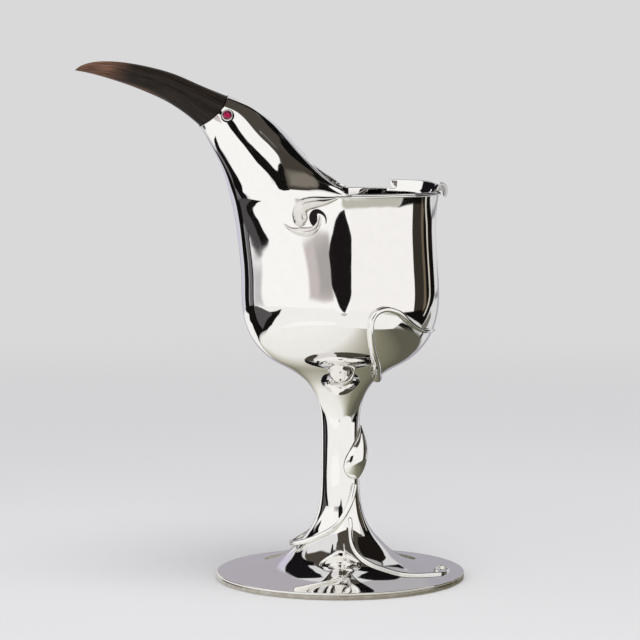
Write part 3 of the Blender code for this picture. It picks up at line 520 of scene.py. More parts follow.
def body_skins():
    """The outer skins of bowl and neck, which meet in one row round the rim's back, and the
    normals along that row.

    The shared rows are about 0.8 mm apart, and a bell of a few of them rolls the bowl into the
    neck; below them the bowl's rows lie closer and closer towards the calyx.
    """
    low_rows, shared, neck_rows, front_columns = 75, 44, 90, 140
    phi = np.arange(-180.0, 180.0, NECK_COLUMN) + NECK_COLUMN / 2
    back = np.abs(phi) > ARCH_SPREAD
    back_angles = rim_angle(phi[back])
    edge = back_angles[back_angles > 0].min()
    front = np.linspace(-edge, edge, front_columns)[1:-1]
    angles = np.concatenate([back_angles[back_angles < 0], front, back_angles[back_angles > 0]])
    on_back = np.abs(angles) > edge - 1e-9
    low = CALYX_EDGE + (SHARED_HEIGHT - CALYX_EDGE) * np.linspace(0, 1, low_rows)[:-1] ** 1.8
    heights = np.concatenate([low, np.linspace(SHARED_HEIGHT, RIM_HEIGHT, shared)])[:, None]
    bowl = ring_of(turned_radius(heights) + spout_swing(angles[None], heights), heights, angles[None])
    t = np.linspace(0, 1, neck_rows)[:, None] + 0.0 * phi[None]
    neck = neck_skin(t, phi[None] + 0.0 * t)
    joined = np.concatenate([bowl[-shared:-1, on_back], neck[:, back]])
    weight = smooth_step(ARCH_SPREAD, ARCH_SPREAD + 16.0, np.abs(phi[back]))[None, :, None]
    rows = np.arange(len(joined))[:, None, None]
    weight = weight * smooth_step(0, 16, rows) * smooth_step(len(joined) - 1, len(joined) - 30, rows)
    joined = joined + weight * (blurred(joined, 5.0) - joined)
    bowl[-shared:, on_back] = joined[:shared]
    neck[:, back] = joined[shared - 1:]
    half = back_angles.size // 2
    normals = grid_normals(np.roll(joined, half, axis=1), wraps=False)[shared - 1]
    normals = np.roll(normals, half, axis=0)
    outward = (normals * joined[shared - 1] * [1, 1, 0]).sum(axis=-1, keepdims=True)
    normals = normals * np.sign(outward)
    return bowl, neck, on_back, back, angles, phi, normals


def make_bowl_and_neck(silver):
    """The raised cup and the neck on it. Each has its skin, a wall inside it, and closed edges."""
    bowl, neck, on_back, back, angles, phi, seam = body_skins()
    out = grid_normals(bowl)
    out = out * np.sign((out * bowl * [1, 1, 0]).sum(axis=-1).mean())
    lining = (bowl - WALL * out)[bowl[:, 0, 2] > BOWL_FLOOR_EDGE]
    open_rim = 1 - smooth_step(84.0, 87.0, np.abs(np.degrees(angles)))
    lip = half_round(bowl[-1], lining[-1], np.array([0.0, 0.0, 1.0]), open_rim)
    floor_r, floor_z = flowing([(float(np.hypot(*lining[0, 0, :2])), float(lining[0, 0, 2])),
                                (24.5, 102.7), (18.0, 100.2), (11.0, 98.95), (5.0, 98.6), (0.4, 98.55)],
                               np.linspace(0, 1, 24)[1:]).T
    floor = ring_of(floor_r[:, None], floor_z[:, None], angles[None])
    seam_rows = np.zeros(bowl.shape)
    seam_rows[-1, on_back] = seam
    cup = closed_skin("bowl", np.concatenate([bowl, lip, lining[::-1], floor]), "caps", sharp=28.0,
                      seam_normals=seam_rows)
    add_piece(cup, silver, "bowl")

    out = grid_normals(neck)
    out = out * np.sign((out[-1] * (neck[-1] - neck[-1].mean(axis=0))).sum())
    lining = neck - WALL * out
    open_arch = 1 - smooth_step(ARCH_SPREAD - 3, ARCH_SPREAD + 1, np.abs(phi))
    arch = half_round(lining[0], neck[0], unit(neck[0] - neck[1]), open_arch)
    joint = half_round(neck[-1], lining[-1], unit(neck[-1] - neck[-2]), 0.4 + 0.0 * phi)
    seam_rows = np.zeros((2,) + neck.shape[1:])
    seam_rows[0, back] = seam
    hood = closed_skin("neck_and_head", np.concatenate([neck, joint, lining[::-1], arch]), "loop",
                       seam_normals=seam_rows)
    add_piece(hood, silver, "neck_and_head")
    return neck, out, phi


def make_foot_and_stem(silver, worn_and_shaded):
    """Foot plate, its edge band, and the stem with the calyx: turned outlines."""
    line = BODY_LINE[(BODY_LINE[:, 1] >= FOOT_EDGE) & (BODY_LINE[:, 1] <= FOOT_TOP)]
    line = np.concatenate([line[::14], [[turned_radius(FOOT_TOP), FOOT_TOP]]])
    inner = sheet_outline(line, WALL)
    inner[-1, 1] = FOOT_TOP
    edge = half_round(inner[0], line[0], np.array([1.0, 0.0]), np.array(0.4))
    plate = turned_mesh("foot_plate", np.concatenate([line, inner[::-1], edge]))
    add_piece(plate, silver, "foot_plate")
    inner_r, top = FOOT_BAND
    corner = 0.55
    turn = np.linspace(-math.pi / 2, 0, 7)
    low = np.stack([FOOT_RADIUS - corner + corner * np.cos(turn), corner + corner * np.sin(turn)], axis=1)
    high = np.stack([low[::-1, 0], top - low[::-1, 1]], axis=1)
    band = turned_mesh("foot_edge_band", np.concatenate([[(inner_r, top), (inner_r, 0.0)], low, high]))
    # The band's darker silver is painted shade for the dark table it mirrors; its roughness is wear.
    add_piece(band, worn_and_shaded, "foot_edge_band")
    line = BODY_LINE[(BODY_LINE[:, 1] > FOOT_TOP) & (BODY_LINE[:, 1] < CALYX_EDGE)][::8]
    line = np.concatenate([[[turned_radius(FOOT_TOP), FOOT_TOP]], line,
                           [[turned_radius(CALYX_EDGE), CALYX_EDGE]]])
    inner = sheet_outline(line, STEM_WALL)
    inner[[0, -1], 1] = FOOT_TOP, CALYX_EDGE
    add_piece(turned_mesh("stem", np.concatenate([line, inner[::-1]])), silver, "stem")


def make_beak(horn, painted_shade, neck, out, phi):
    """The horn beak: a tang inside the head, a shoulder against the silver, and the long blade,
    with a dark line of painted shade where horn and silver meet.

    The blade's ovals run between its upper and lower edges; near the joint they lean back to
    meet the silver's bulged edge.
    """
    s = 1 - (1 - np.linspace(0, 1, 90)) ** 1.5
    top, low = flowing(CULMEN_GUIDE, s), flowing(GONYS_GUIDE, s)
    half = np.linalg.norm(top - low, axis=1) / 2
    width = half * NECK_HALF_WIDTH[-1][1] / half[0]
    angle = phi[None] + 0.0 * s[:, None]
    blade = oval_ring(low[:, None], top[:, None], width[:, None], angle)
    forward = unit(neck[-1] - neck[-2])
    inset, gap, fade_share = 0.12, 0.25, 0.16
    meet = neck[-1] - inset * out[-1] + gap * forward
    fade = np.clip(1 - s / fade_share, 0, 1)[:, None, None] ** 2
    blade = blade + (meet - blade[0]) * fade
    back = unit(neck[-12].mean(axis=0) - neck[-1].mean(axis=0))
    tang_front = neck[-1] - TANG_INSET * out[-1]
    middle = tang_front.mean(axis=0)
    tang_end = middle + TANG_TAPER * (tang_front - middle) + TANG_DEPTH * back
    rings = np.concatenate([[tang_end, tang_front + 0.2 * forward], blade])
    add_piece(closed_skin("beak", rings, "caps", sharp=40.0), horn, "beak", slot="dark_horn")
    # A ring of painted shade along the join of horn and silver.
    turn = round_angles(10)[None, :, None]
    seam = (neck[-1] + 0.1 * forward)[:, None] + SEAM_RADIUS * (np.cos(turn) * out[-1][:, None]
                                                                + np.sin(turn) * forward[:, None])
    add_piece(closed_skin("beak_seam", seam, "loop"), painted_shade)


def make_eyes(silver, painted_shade, stone, neck, out):
    """On each side a collet, turned about the head's normal, a cut stone in it, and a dark ring of
    painted shade round its foot, where collet and head meet."""
    off = np.hypot(neck[..., 0] - EYE_PLACE[0], neck[..., 2] - EYE_PLACE[1])
    off = np.where(neck[..., 1] < 0, off, np.inf)
    row, column = np.unravel_index(off.argmin(), off.shape)
    place, normal = neck[row, column], out[row, column]
    side = unit(np.cross(normal, [0.0, 0.0, 1.0]))
    turn = np.stack([side, np.cross(normal, side), normal])
    r, h = EYE_RADIUS, COLLET_HEIGHT
    wall = COLLET_RADIUS - r
    a = np.linspace(0, math.pi, 9)
    rim = np.stack([r + wall / 2 + wall / 2 * np.cos(a), h - 0.3 + 0.3 * np.sin(a)], axis=1)
    collet = np.concatenate([[(COLLET_RADIUS, -0.6)], rim, [(r, 0.5), (0.05, 0.5), (0.05, -0.6)]])
    cut = np.array([(0.05, 2.05), (1.15, 2.05), (1.2, 2.02), (r - 0.08, 1.35), (r - 0.03, 1.25),
                    (r - 0.03, 1.1), (0.05, 0.55)])
    # A low ring round the collet's foot that carries painted shade.
    corner = np.stack([COLLET_RADIUS + 0.1 + 0.35 * np.cos(a), 0.12 + 0.2 * np.sin(a)], axis=1)
    corner = np.concatenate([corner, [(COLLET_RADIUS - 0.3, -0.6), (COLLET_RADIUS + 0.45, -0.6)]])
    for name, outline, sides, sharp in (("eye_collet_", collet, 64, 40.0),
                                        ("eye_corner_", corner, 64, 40.0),
                                        ("eye_stone_", cut, STONE_SIDES, 5.0)):
        local = ring_of(outline[:, :1], outline[:, 1:], round_angles(sides)[None])
        placed = place + local @ turn
        for word, mirror in (("near", 1.0), ("far", -1.0)):
            mesh = closed_skin(name + word, placed * [1.0, mirror, 1.0], "loop", sharp)
            if outline is collet:
                add_piece(mesh, silver, name + word)
            elif outline is corner:
                add_piece(mesh, painted_shade)
            else:
                add_piece(mesh, stone, name + word, slot="garnet")


def make_rim_wire(silver):
    """The bead under the rim's edge, round the front half of the cup."""
    angles = np.linspace(-RIM_WIRE_SPREAD, RIM_WIRE_SPREAD, 260)
    place, _ = body_place(angles, np.full(260, RIM_HEIGHT - 0.7))
    out = unit(place * [1, 1, 0])
    radii = np.full(260, RIM_WIRE_RADIUS)
    add_piece(wire_mesh("rim_wire", place + 0.35 * out, out, radii, sides=16), silver, "rim_wire")


# Volute: its middle as an angle and a height, and the lines of its three forms on the wall around
# that middle: sideways towards the back of the cup, up, and half width
VOLUTE_PLACE = (107.0, 175.0)
SCROLL = [(12.6, 9.2, 0.6), (6.3, 7.7, 2.1), (0.5, 6.9, 2.9), (-3.7, 5.1, 3.3), (-5.3, 1.9, 3.5),
          (-4.8, -1.5, 3.5), (-3.4, -3.6, 3.0)]
CRESCENT = [(-13.3, -3.0, 0.2), (-10.2, -5.4, 1.0), (-6.3, -6.4, 1.9), (-2.4, -6.6, 2.3),
            (1.0, -5.6, 1.9), (3.3, -2.5, 1.2), (3.9, 1.1, 0.4)]
# HOLLOW is the outline of the dark sheet of painted shade between scroll and crescent
HOLLOW = [(6.8, -2.8, 0.15), (6.8, -0.6, 0.35), (5.2, 2.0, 0.7), (2.2, 2.7, 1.3), (0.9, 0.6, 1.9),
          (0.9, -1.9, 1.6), (0.8, -3.7, 0.8)]


def strap_mesh(name, side, line, relief, lift):
    """A rounded strap on the wall: a half oval carried along a line, which rises by the relief where
    the line is widest and less where it is narrow. Its lower half sinks into the wall."""
    shares = wire_shares(110)
    path = flowing(line, shares)
    along = heading(path[:, :2])
    across = np.stack([-along[:, 1], along[:, 0]], axis=1)[:, None]
    turn = round_angles(28)
    ends = round_off(shares, length_of(path[:, :2]), path[0, 2], path[-1, 2])
    half = (path[:, 2] * ends).clip(0.03)[:, None]
    flat = path[:, None, :2] + across * (half * np.cos(turn))[..., None]
    swell = np.where(np.sin(turn) > 0, np.sin(turn), 0.15 * np.sin(turn))
    rise = lift + relief * (half / half.max()) ** 0.8 * swell
    angle = side * (VOLUTE_PLACE[0] - np.degrees(flat[..., 0] / RIM_RADIUS))
    place, normal = body_place(angle, VOLUTE_PLACE[1] + flat[..., 1])
    return closed_skin(name, place + normal * rise[..., None], "caps")


def make_volutes(silver, painted_shade):
    """On each side, where the neck begins: a broad scroll that leaves the rim wire, a crescent that
    passes under it and ends in a tongue, and between the two a dark sheet of painted shade for the hollow."""
    for side, word in ((-1, "near"), (1, "far")):
        scroll = strap_mesh("volute_" + word, side, SCROLL, 2.3, 0.25)
        crescent = strap_mesh("volute_crescent_" + word, side, CRESCENT, 1.7, 0.1)
        # The hollow's thin dark sheet is painted shade.
        hollow = strap_mesh("volute_hollow_" + word, side, HOLLOW, 0.12, 0.12)
        add_piece(scroll, silver, "volute_" + word)
        add_piece(crescent, silver)
        add_piece(hollow, painted_shade)


CURL_GUIDE = [(46.4, 185.5), (47.1, 187.4), (48.6, 188.5), (50.0, 187.3), (50.2, 185.0), (49.6, 183.0)]
CURL_WALL, CURL_SPREAD = 0.8, 6.0


def make_rim_band(silver):
    """The strip lapped inside the back of the rim, and its end curled out over the rim."""
    start, run, foot, top, wall, corner = 6.4, 52.6, 177.4, 189.75, 0.9, 0.9
    dip, dip_end, lean_foot, lean_out = 1.3, 30.0, RIM_HEIGHT - 0.75, 1.35
    angles = np.radians(start + run * wire_shares(90))
    half = wall / 2
    a = np.linspace(0, math.pi, 9)
    inner = np.stack([np.full(30, -wall), np.linspace(top - half, foot, 30)], axis=1)
    outer = np.stack([np.zeros(30), np.linspace(foot, top - half, 30)], axis=1)
    crest = np.stack([-half + half * np.cos(a), top - half + half * np.sin(a)], axis=1)
    section = np.concatenate([outer, crest[1:-1], inner])
    lean = np.clip((section[:, 1] - lean_foot) / (top - lean_foot), 0, 1) * lean_out
    base = turned_radius(np.minimum(section[:, 1], RIM_HEIGHT)) - WALL - 0.2 + lean
    short = np.clip(1 - (angles.max() - angles) * RIM_RADIUS / corner, 0, 1)
    cut = dip * smooth_step(dip_end, start, np.degrees(angles)) + corner * (1 - np.sqrt(1 - short**2))
    height = section[None, :, 1] - cut[:, None] * smooth_step(RIM_HEIGHT, top, section[:, 1])
    band = ring_of((base + section[:, 0])[None], height, angles[:, None])
    add_piece(closed_skin("rim_band", band, "caps"), silver, "rim_band")
    path = flowing(CURL_GUIDE, np.linspace(0, 1, 40))
    inner = sheet_outline(path, CURL_WALL)
    tip = half_round(path[-1], inner[-1], unit(path[-1] - path[-2]), np.array(1.0))
    root = half_round(inner[0], path[0], unit(path[0] - path[1]), np.array(1.0))
    outline = np.concatenate([path, tip, inner[::-1], root])
    angles = np.radians(CURL_SPREAD * np.cos(np.linspace(math.pi, 0, 24)))
    curl = ring_of(outline[None, :, 0], outline[None, :, 1], angles[:, None])
    add_piece(closed_skin("rim_band_curl", curl, "caps"), silver, "rim_band_curl")


# Routes of the wires: angle and height on the body, for the stalk also how far it lifts off, and for
# the foot's tendril angle and radius
BOWL_TENDRIL = [(-38.5, 98.7), (-53.2, 102.2), (-62.6, 106.9), (-68.2, 112.2), (-71.2, 117.3),
                (-72.6, 122.2), (-72.8, 126.0), (-71.4, 129.7), (-67.9, 132.0), (-63, 132.5),
                (-59.1, 131.7), (-55, 130.3), (-50.3, 127.6), (-44.5, 124.7), (-39, 122.7),
                (-33.7, 121.4), (-20, 120.2), (-6, 119.5), (8, 118.9)]
LEAF_STALK = [(-45, 46.0, 0), (-56.9, 39.3, 0), (-75.6, 32.9, 0), (-94.4, 27.4, 0), (-116.1, 23.2, 0),
              (-139.9, 19.5, 0), (-154.7, 16.8, 1.0), (-168, 14.6, 2.4), (-180, 14.8, 2.0),
              (-196, 17.5, 0.6), (-215, 22.0, 0), (-236, 27.0, 0)]
FOOT_TENDRIL = [(-67.8, 11.3), (-69.2, 13.3), (-72.3, 16.9), (-71.3, 20.4), (-67.2, 23.5), (-61.6, 26.6),
                (-56, 29.4), (-48, 33.7), (-41.9, 38.5), (-31, 43.5), (-22, 47.6), (-15.8, 50.5),
                (-7.1, 51.7), (1, 50.7), (2.4, 48.4), (-4, 46.3), (-10.6, 46.3), (-12, 47.9)]


def make_tendrils(silver):
    """The wires of the ornament: over the bowl, across the stem's foot, and out over the foot."""
    radii = [(0, 2.3), (0.06, 2.4), (0.16, 2.0), (0.3, 1.45), (0.55, 1.3), (0.75, 1.0), (1, 0.4)]
    tendril = body_wire("bowl_tendril", [(a, h, 0.0) for a, h in BOWL_TENDRIL], radii, sink=0.3, count=260)
    add_piece(tendril, silver, "bowl_tendril")
    stalk = body_wire("leaf_stalk", LEAF_STALK, [(0, 1.3), (0.6, 1.25), (1, 0.45)], sink=0.5, count=200)
    add_piece(stalk, silver, "leaf_stalk")
    line = np.array(FOOT_TENDRIL)
    foot = BODY_LINE[BODY_LINE[:, 1] <= FOOT_TOP]
    angle, radius = np.radians(line[:, 0]), line[:, 1]
    shares = wire_shares(260)
    flat = flowing(np.stack([radius * np.cos(angle), radius * np.sin(angle),
                             np.interp(-radius, -foot[:, 0], foot[:, 1])], axis=1), shares)
    radius, angle = np.hypot(flat[:, 0], flat[:, 1]), np.degrees(np.arctan2(flat[:, 1], flat[:, 0]))
    place, normal = body_place(angle, np.interp(-radius, -foot[:, 0], foot[:, 1]))
    thick = np.interp(shares, [0, 0.75, 1], [1.0, 0.75, 0.8])
    path = place + normal * (thick * 0.5)[:, None]
    ends = round_off(shares, length_of(path), 1.0, 0.8)
    mesh = wire_mesh("foot_tendril", path, normal, thick * ends)
    add_piece(mesh, silver, "foot_tendril")


# Leaf: heights and sheet in mm, turn and spread round the stem in degrees
LEAF_FOOT, LEAF_LENGTH = 48.0, 25.0
LEAF_START, LEAF_TURN = -42.0, 52.0
LEAF_STEM_SPREAD, LEAF_SPREAD = 4.0, 58.0
LEAF_GAP, LEAF_LIFT, LEAF_HALF_WALL = 0.7, 3.2, 0.4


def make_leaf(silver):
    """The leaf round the stem: a sheet whose half width swells and closes as it climbs, lifted
    off the stem along its middle."""
    u = np.linspace(0.0, 1.0, 90)[:, None]
    turn = round_angles(120)[None]
    across = np.cos(turn)
    height = LEAF_FOOT + LEAF_LENGTH * u + 0.0 * turn
    middle = LEAF_START + LEAF_TURN * u
    swell = np.sin(math.pi * u**0.8).clip(0) ** 0.8 * (1 - 0.35 * u)
    half = LEAF_STEM_SPREAD + LEAF_SPREAD * swell
    lift = LEAF_GAP + LEAF_LIFT * np.sin(math.pi * u**0.9).clip(0) * (1 - across**2)
    place, normal = body_place(middle + half * across, height)
    rings = place + normal * (lift + LEAF_HALF_WALL * np.sin(turn))[..., None]
    add_piece(closed_skin("stem_leaf", rings, "caps"), silver, "stem_leaf")


# Materials


def colour(code):
    """A hex colour as linear red, green, blue and one for alpha."""
    parts = np.array([int(code[i:i + 2], 16) / 255 for i in (1, 3, 5)])
    return (*np.where(parts <= 0.04045, parts / 12.92, ((parts + 0.055) / 1.055) ** 2.4), 1.0)


def fill(tree, node, inputs):
    """The node's inputs, set to values or linked to other nodes' outputs."""
    for key, value in inputs.items():
        if isinstance(value, bpy.types.NodeSocket):
            tree.links.new(value, node.inputs[key])
        else:
            node.inputs[key].default_value = value


def add_node(tree, kind, inputs=None, **settings):
    """A node with its settings and its inputs."""
    made = tree.nodes.new(kind)
    for key, value in settings.items():
        setattr(made, key, value)
    fill(tree, made, inputs or {})
    return made


def maths(tree, operation, *values, **settings):
    """The values worked out by a math node."""
    inputs = dict(enumerate(values))
    return add_node(tree, "ShaderNodeMath", inputs, operation=operation, **settings).outputs[0]


def noise(tree, place, scale, detail, roughness=0.5):
    return add_node(tree, "ShaderNodeTexNoise", {"Vector": place, "Scale": scale, "Detail": detail,
                                                 "Roughness": roughness}).outputs["Fac"]


def ranged(tree, value, low, high, first=0.0, last=1.0, kind="LINEAR"):
    """The value carried over from the range low to high into the range first to last."""
    inputs = {"Value": value, "From Min": low, "From Max": high, "To Min": first, "To Max": last}
    return add_node(tree, "ShaderNodeMapRange", inputs, interpolation_type=kind).outputs["Result"]


def blend(tree, share, first, second):
    """The first colour, going over to the second with the share. Each is a hex code or an output."""
    first, second = (colour(c) if isinstance(c, str) else c for c in (first, second))
    return add_node(tree, "ShaderNodeMix", {"Factor": share, "A": first, "B": second},
                    data_type="RGBA").outputs["Result"]


def ramp(tree, share, *stops):
    """A colour ramp through stops of a share and a hex code: first its two ends, then those between."""
    made = add_node(tree, "ShaderNodeValToRGB", {"Fac": share})
    elements = made.color_ramp.elements
    for count, (position, code) in enumerate(stops):
        stop = elements[count] if count < 2 else elements.new(position)
        stop.position, stop.color = position, colour(code)
    return made.outputs["Color"]


def new_material(name):
    """An empty material with its tree and its Principled shader."""
    material = bpy.data.materials.new(name)
    material.use_nodes = True
    return material, material.node_tree, material.node_tree.nodes["Principled BSDF"]


def object_place(tree):
    return add_node(tree, "ShaderNodeTexCoord").outputs["Object"]


def polished_silver(name, finest, dullest, light="#FBFAF8", dark="#F4F3F1"):
    """Sterling silver, raised with a hammer, planished and buffed: a mirror that swims a little.

    Broad soft waves of about 12 mm are what planishing leaves, and bend the panels' edges; fine
    wiping marks of a fraction of a millimetre give a thin haze over the reflections, from the
    finest roughness to the dullest. The base colour goes with the haze from light to dark; the
    darker pair given to the volutes and the foot's band is painted shade.
    """
    material, tree, shader = new_material(name)
    place = object_place(tree)
    waves, haze = noise(tree, place, 85.0, 1.0), noise(tree, place, 260.0, 6.0)
    bump = add_node(tree, "ShaderNodeBump", {"Height": waves, "Strength": 1.0, "Distance": 0.00005})
    fill(tree, shader, {"Base Color": blend(tree, haze, light, dark), "Metallic": 1.0,
                        "Roughness": ranged(tree, haze, 0.35, 0.8, finest, dullest),
                        "Normal": bump.outputs["Normal"]})
    return material


def painted_shade_silver():
    """Painted shade: nearly black silver with a dull gleam, for hollows, the beak's joint and collets'
    feet.
    """
    material, tree, shader = new_material("painted_shade_silver")
    shade_mottle = noise(tree, object_place(tree), 1400.0, 4.0)
    fill(tree, shader, {"Base Color": blend(tree, shade_mottle, "#141012", "#3A3132"), "Metallic": 1.0,
                        "Roughness": 0.45})
    return material


def dark_horn():
    """Buffalo horn, filed and waxed: nearly black brown, with fine fibre along it that shows red and
    brown where the horn grows thin, at the tip and along the lower edge."""
    material, tree, shader = new_material("dark_horn")
    flow = add_node(tree, "ShaderNodeUVMap", uv_map="UVMap").outputs["UV"]
    stretch = add_node(tree, "ShaderNodeMapping", {"Vector": flow, "Scale": (60.0, 7.0, 1.0)})
    fibre = noise(tree, stretch.outputs["Vector"], 1.0, 6.0, 0.6)
    thick = ramp(tree, fibre, (0.35, "#0E0A07"), (0.75, "#2F251D"))
    thin = ramp(tree, fibre, (0.35, "#3A231A"), (0.7, "#8A6550"))
    place = add_node(tree, "ShaderNodeSeparateXYZ", {"Vector": flow})
    to_tip = ranged(tree, place.outputs["Y"], 0.46, 0.68, kind="SMOOTHSTEP")
    from_top = maths(tree, "ABSOLUTE", maths(tree, "SUBTRACT", place.outputs["X"], 0.5))
    low_edge = ranged(tree, from_top, 0.36, 0.44, kind="SMOOTHSTEP")
    far_half = ranged(tree, place.outputs["Y"], 0.2, 0.36, last=0.7)
    share = maths(tree, "MAXIMUM", to_tip, maths(tree, "MULTIPLY", low_edge, far_half))
    bump = add_node(tree, "ShaderNodeBump", {"Height": fibre, "Strength": 0.4, "Distance": 0.0001})
    fill(tree, shader, {"Base Color": blend(tree, share, thick, thin), "Normal": bump.outputs["Normal"],
                        "Roughness": 0.4, "IOR": 1.54, "Specular IOR Level": 0.2})
    return material


def garnet():
    """Rhodolite garnet, cut and polished: a deep wine red. Patches about a millimetre wide, dark
    and bright, are painted in its colour as the flashes of the facets of its back."""
    material, tree, shader = new_material("garnet")
    cells = add_node(tree, "ShaderNodeTexVoronoi", {"Vector": object_place(tree), "Scale": 850.0})
    painted_flash = add_node(tree, "ShaderNodeSeparateColor", {"Color": cells.outputs["Color"]})
    # The dark and bright patches are painted flashes of the back facets.
    fill(tree, shader, {"Base Color": blend(tree, painted_flash.outputs["Red"], "#24020E", "#B01850"),
                        "Roughness": 0.04, "IOR": 1.76, "Specular IOR Level": 0.3})
    return material


def glow(tree, shown):
    """Light of one colour, or of the colour that an output gives."""
    return add_node(tree, "ShaderNodeEmission", {"Color": shown}).outputs["Emission"]


def show(tree, share, first, second):
    """The material's surface: the first shader, going over to the second with the share."""
    mixed = add_node(tree, "ShaderNodeMixShader", {0: share, 1: first, 2: second})
    fill(tree, tree.nodes["Material Output"], {"Surface": mixed.outputs["Shader"]})


def unlit_material(name):
    """A material without its Principled shader, its tree, and a clear shader in it."""
    material, tree, shader = new_material(name)
    tree.nodes.remove(shader)
    return material, tree, add_node(tree, "ShaderNodeBsdfTransparent").outputs["BSDF"]


def glowing(name, code, softness):
    """A card that shows its own colour and takes no light; its edge fades over the softness in degrees."""
    material, tree, clear = unlit_material(name)
    edge = add_node(tree, "ShaderNodeAttribute", attribute_name="inside")
    fade = ranged(tree, edge.outputs["Fac"], -softness / 2, softness / 2, kind="SMOOTHSTEP")
    show(tree, fade, clear, glow(tree, colour(code)))
    return material


# Studio


def inside_by(azimuth, elevation, outline):
    """How many degrees a direction lies inside an outline of azimuths and elevations, minus
    outside: the distance to the nearest side, with azimuths shortened by the elevation's cosine."""
    narrow = np.cos(np.radians(elevation))
    nearest = np.full(np.broadcast(azimuth, elevation).shape, 1e9)
    inside = np.zeros(nearest.shape, dtype=bool)
    for (a0, e0), (a1, e1) in zip(outline, outline[1:] + outline[:1]):
        run, rise = (a1 - a0) * narrow, e1 - e0
        x, y = (azimuth - a0) * narrow, elevation - e0
        share = np.clip((x * run + y * rise) / (run * run + rise * rise), 0.0, 1.0)
        nearest = np.minimum(nearest, np.hypot(x - share * run, y - share * rise))
        if rise:
            inside ^= ((e0 > elevation) != (e1 > elevation)) & (azimuth < a0 + (a1 - a0) * y / rise)
    return np.where(inside, nearest, -nearest)


def hang_card(name, code, softness, distance, outline, lights=False):
    """A card of the studio: the part of a sphere round the cup that lies inside an outline of
    directions. The camera looks through it; polished metal shows it."""
    outer = np.array(outline)
    (a0, e0), (a1, e1) = outer.min(axis=0) - softness, outer.max(axis=0) + softness
    azimuth = np.linspace(a0, a1, int((a1 - a0) / CARD_CELL) + 2)[None]
    elevation = np.linspace(max(e0, -90.0), min(e1, 90.0), int((e1 - e0) / CARD_CELL) + 2)[:, None]
    inside = inside_by(azimuth, elevation, outline)
    a, e = np.radians(azimuth), np.radians(elevation)
    points = distance * ring_of(np.cos(e), np.sin(e), a)
    rows, columns = inside.shape
    r, c = np.meshgrid(np.arange(rows - 1), np.arange(columns - 1), indexing="ij")
    faces = np.stack([r * columns + c, r * columns + c + 1, (r + 1) * columns + c + 1,
                      (r + 1) * columns + c], axis=-1).reshape(-1, 4)
    faces = faces[(inside.ravel()[faces] > -softness / 2).any(axis=1)]
    mesh = bpy.data.meshes.new(name)
    mesh.from_pydata(((points + [0.0, 0.0, STUDIO_HEIGHT]) * MM).reshape(-1, 3), [], faces.tolist())
    mesh.attributes.new("inside", "FLOAT", "POINT").data.foreach_set("value", inside.ravel())
    card = add_object(name, mesh)
    card.data.materials.append(glowing(name, code, softness))
    card.visible_camera = False
    card.visible_shadow = False
    card.visible_diffuse = lights


def make_floor():
    """A plain pale floor for the camera, with the cup's shadow, which runs into the backdrop."""
    turn = round_angles(96)
    for name, size in (("floor", FLOOR_RADIUS), ("table_top", TABLE_RADIUS)):
        mesh = bpy.data.meshes.new(name)
        ring = (ring_of(size, FLOOR_HEIGHT, turn) + [AXIS_X, 0.0, 0.0]) * MM
        mesh.from_pydata(ring, [], [tuple(range(len(turn)))])
        disc = add_object(name, mesh)
        disc.visible_camera = name == "floor"
        disc.visible_glossy = name != "floor"
        disc.visible_diffuse = name == "floor"
        disc.visible_shadow = False
        disc.data.materials.append(floor_paint() if name == "floor" else table_paint())


def floor_paint():
    """Matt pale floor near the cup; further off it takes on the backdrop's own colour."""
    material, tree, shader = new_material("floor")
    far = add_node(tree, "ShaderNodeVectorMath", {0: object_place(tree)}, operation="LENGTH")
    share = ranged(tree, far.outputs["Value"], 0.25, 1.3, kind="SMOOTHSTEP")
    fill(tree, shader, {"Base Color": colour(FLOOR), "Roughness": 0.9, "Specular IOR Level": 0.1})
    show(tree, share, shader.outputs["BSDF"], glow(tree, colour(BACKDROP)))
    return material


def table_paint():
    """The table's top as the metal shows it, with painted light: bright towards the left panel, dim on the
    other side.
    """
    material, tree, clear = unlit_material("table_top")
    place = object_place(tree)
    bright = np.radians(TABLE_PAINTED_LIGHT_SIDE)
    towards = add_node(tree, "ShaderNodeVectorMath", {0: place, 1: (np.cos(bright), np.sin(bright), 0.0)},
                       operation="DOT_PRODUCT")
    share = ranged(tree, towards.outputs["Value"], -0.16, 0.16)
    # The ramp is painted light: bright where the left panel lights the table, dim away from it.
    shown = ramp(tree, share, (0.0, "#5E5D50"), (1.0, "#F6F5F2"), (0.27, "#85836F"), (0.46, "#C8C5BA"),
                 (0.6, "#EFEEEA"))
    middle = add_node(tree, "ShaderNodeVectorMath", {0: place, 1: (-AXIS_X * MM, 0.0, 0.0)})
    far = add_node(tree, "ShaderNodeVectorMath", {0: middle.outputs["Vector"]}, operation="LENGTH")
    fade = ranged(tree, far.outputs["Value"], 0.24, TABLE_RADIUS * MM, kind="SMOOTHSTEP")
    show(tree, fade, glow(tree, shown), clear)
    return material


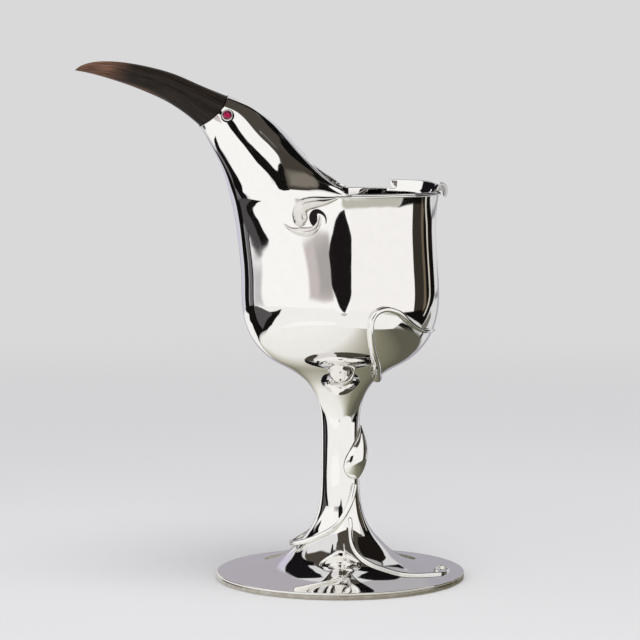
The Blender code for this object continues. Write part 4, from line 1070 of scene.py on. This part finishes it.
def make_world():
    """A pale backdrop for the camera and in polished metal, and a plain soft light for the rest."""
    world = bpy.data.worlds.new("studio")
    world.use_nodes = True
    bpy.context.scene.world = world
    tree = world.node_tree
    tree.nodes.clear()
    path = add_node(tree, "ShaderNodeLightPath")
    seen = maths(tree, "ADD", path.outputs["Is Camera Ray"], path.outputs["Is Glossy Ray"])
    seen = maths(tree, "ADD", seen, path.outputs["Is Transmission Ray"], use_clamp=True)
    sky = add_node(tree, "ShaderNodeBackground", {"Color": blend(tree, seen, "#BCBCC0", BACKDROP),
                                                  "Strength": 1.0})
    add_node(tree, "ShaderNodeOutputWorld", {"Surface": sky.outputs["Background"]})


def make_studio():
    """Hang the cards, each a little nearer than the one before, and the lamp."""
    for count, (name, code, softness, distance, outline) in enumerate(CARDS):
        hang_card(name, code, softness, distance * (1.0 - CARD_STEP * count), outline, name in LIGHT_CARDS)
    light = bpy.data.lights.new("soft_top", "AREA")
    light.shape, light.size, light.energy = "DISK", 1.2, 12.0
    lamp = add_object("soft_top", light)
    lamp.location = LAMP_PLACE
    lamp.rotation_euler = (Vector(LAMP_AIM) - lamp.location).to_track_quat("-Z", "Y").to_euler()
    lamp.visible_glossy = False


def make_camera():
    """The camera of the photograph: 1.23 m off, level with the head, looking down by 5.1 degrees."""
    data = bpy.data.cameras.new("camera")
    data.sensor_width, data.lens = 36.0, 145.5
    data.clip_end = 50.0
    camera = add_object("camera", data)
    camera.location = CAMERA_PLACE
    camera.rotation_euler = (math.radians(90 - CAMERA_DOWN), math.radians(CAMERA_ROLL), 0.0)
    bpy.context.scene.camera = camera


def main():
    silver = polished_silver("polished_silver", 0.02, 0.06)
    # The volutes' silver is rougher from hand rubbing; its darker colour is painted shade.
    soft = polished_silver("hand_rubbed_and_painted_shade_silver", 0.14, 0.22, light="#F2F0EE", dark="#D9D4D0")
    # The foot band's silver is rougher from wear; its much darker colour is painted shade.
    worn_and_shaded = polished_silver("worn_and_painted_shade_silver", 0.16, 0.3, light="#D8D4CE", dark="#8C8478")
    # The nearly black silver is painted shade for the hollows, the beak's joint and the collets' feet.
    painted_shade, horn, stone = painted_shade_silver(), dark_horn(), garnet()
    make_foot_and_stem(silver, worn_and_shaded)
    neck, out, phi = make_bowl_and_neck(silver)
    make_beak(horn, painted_shade, neck, out, phi)
    make_eyes(silver, painted_shade, stone, neck, out)
    make_rim_wire(silver)
    make_volutes(soft, painted_shade)
    make_rim_band(silver)
    make_tendrils(silver)
    make_leaf(silver)
    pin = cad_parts["beak_pin"]
    pin.data.materials.clear()
    pin.data.materials.append(silver)
    make_floor()
    make_world()
    make_studio()
    make_camera()
    bpy.context.scene.view_settings.view_transform = "Standard"


main()
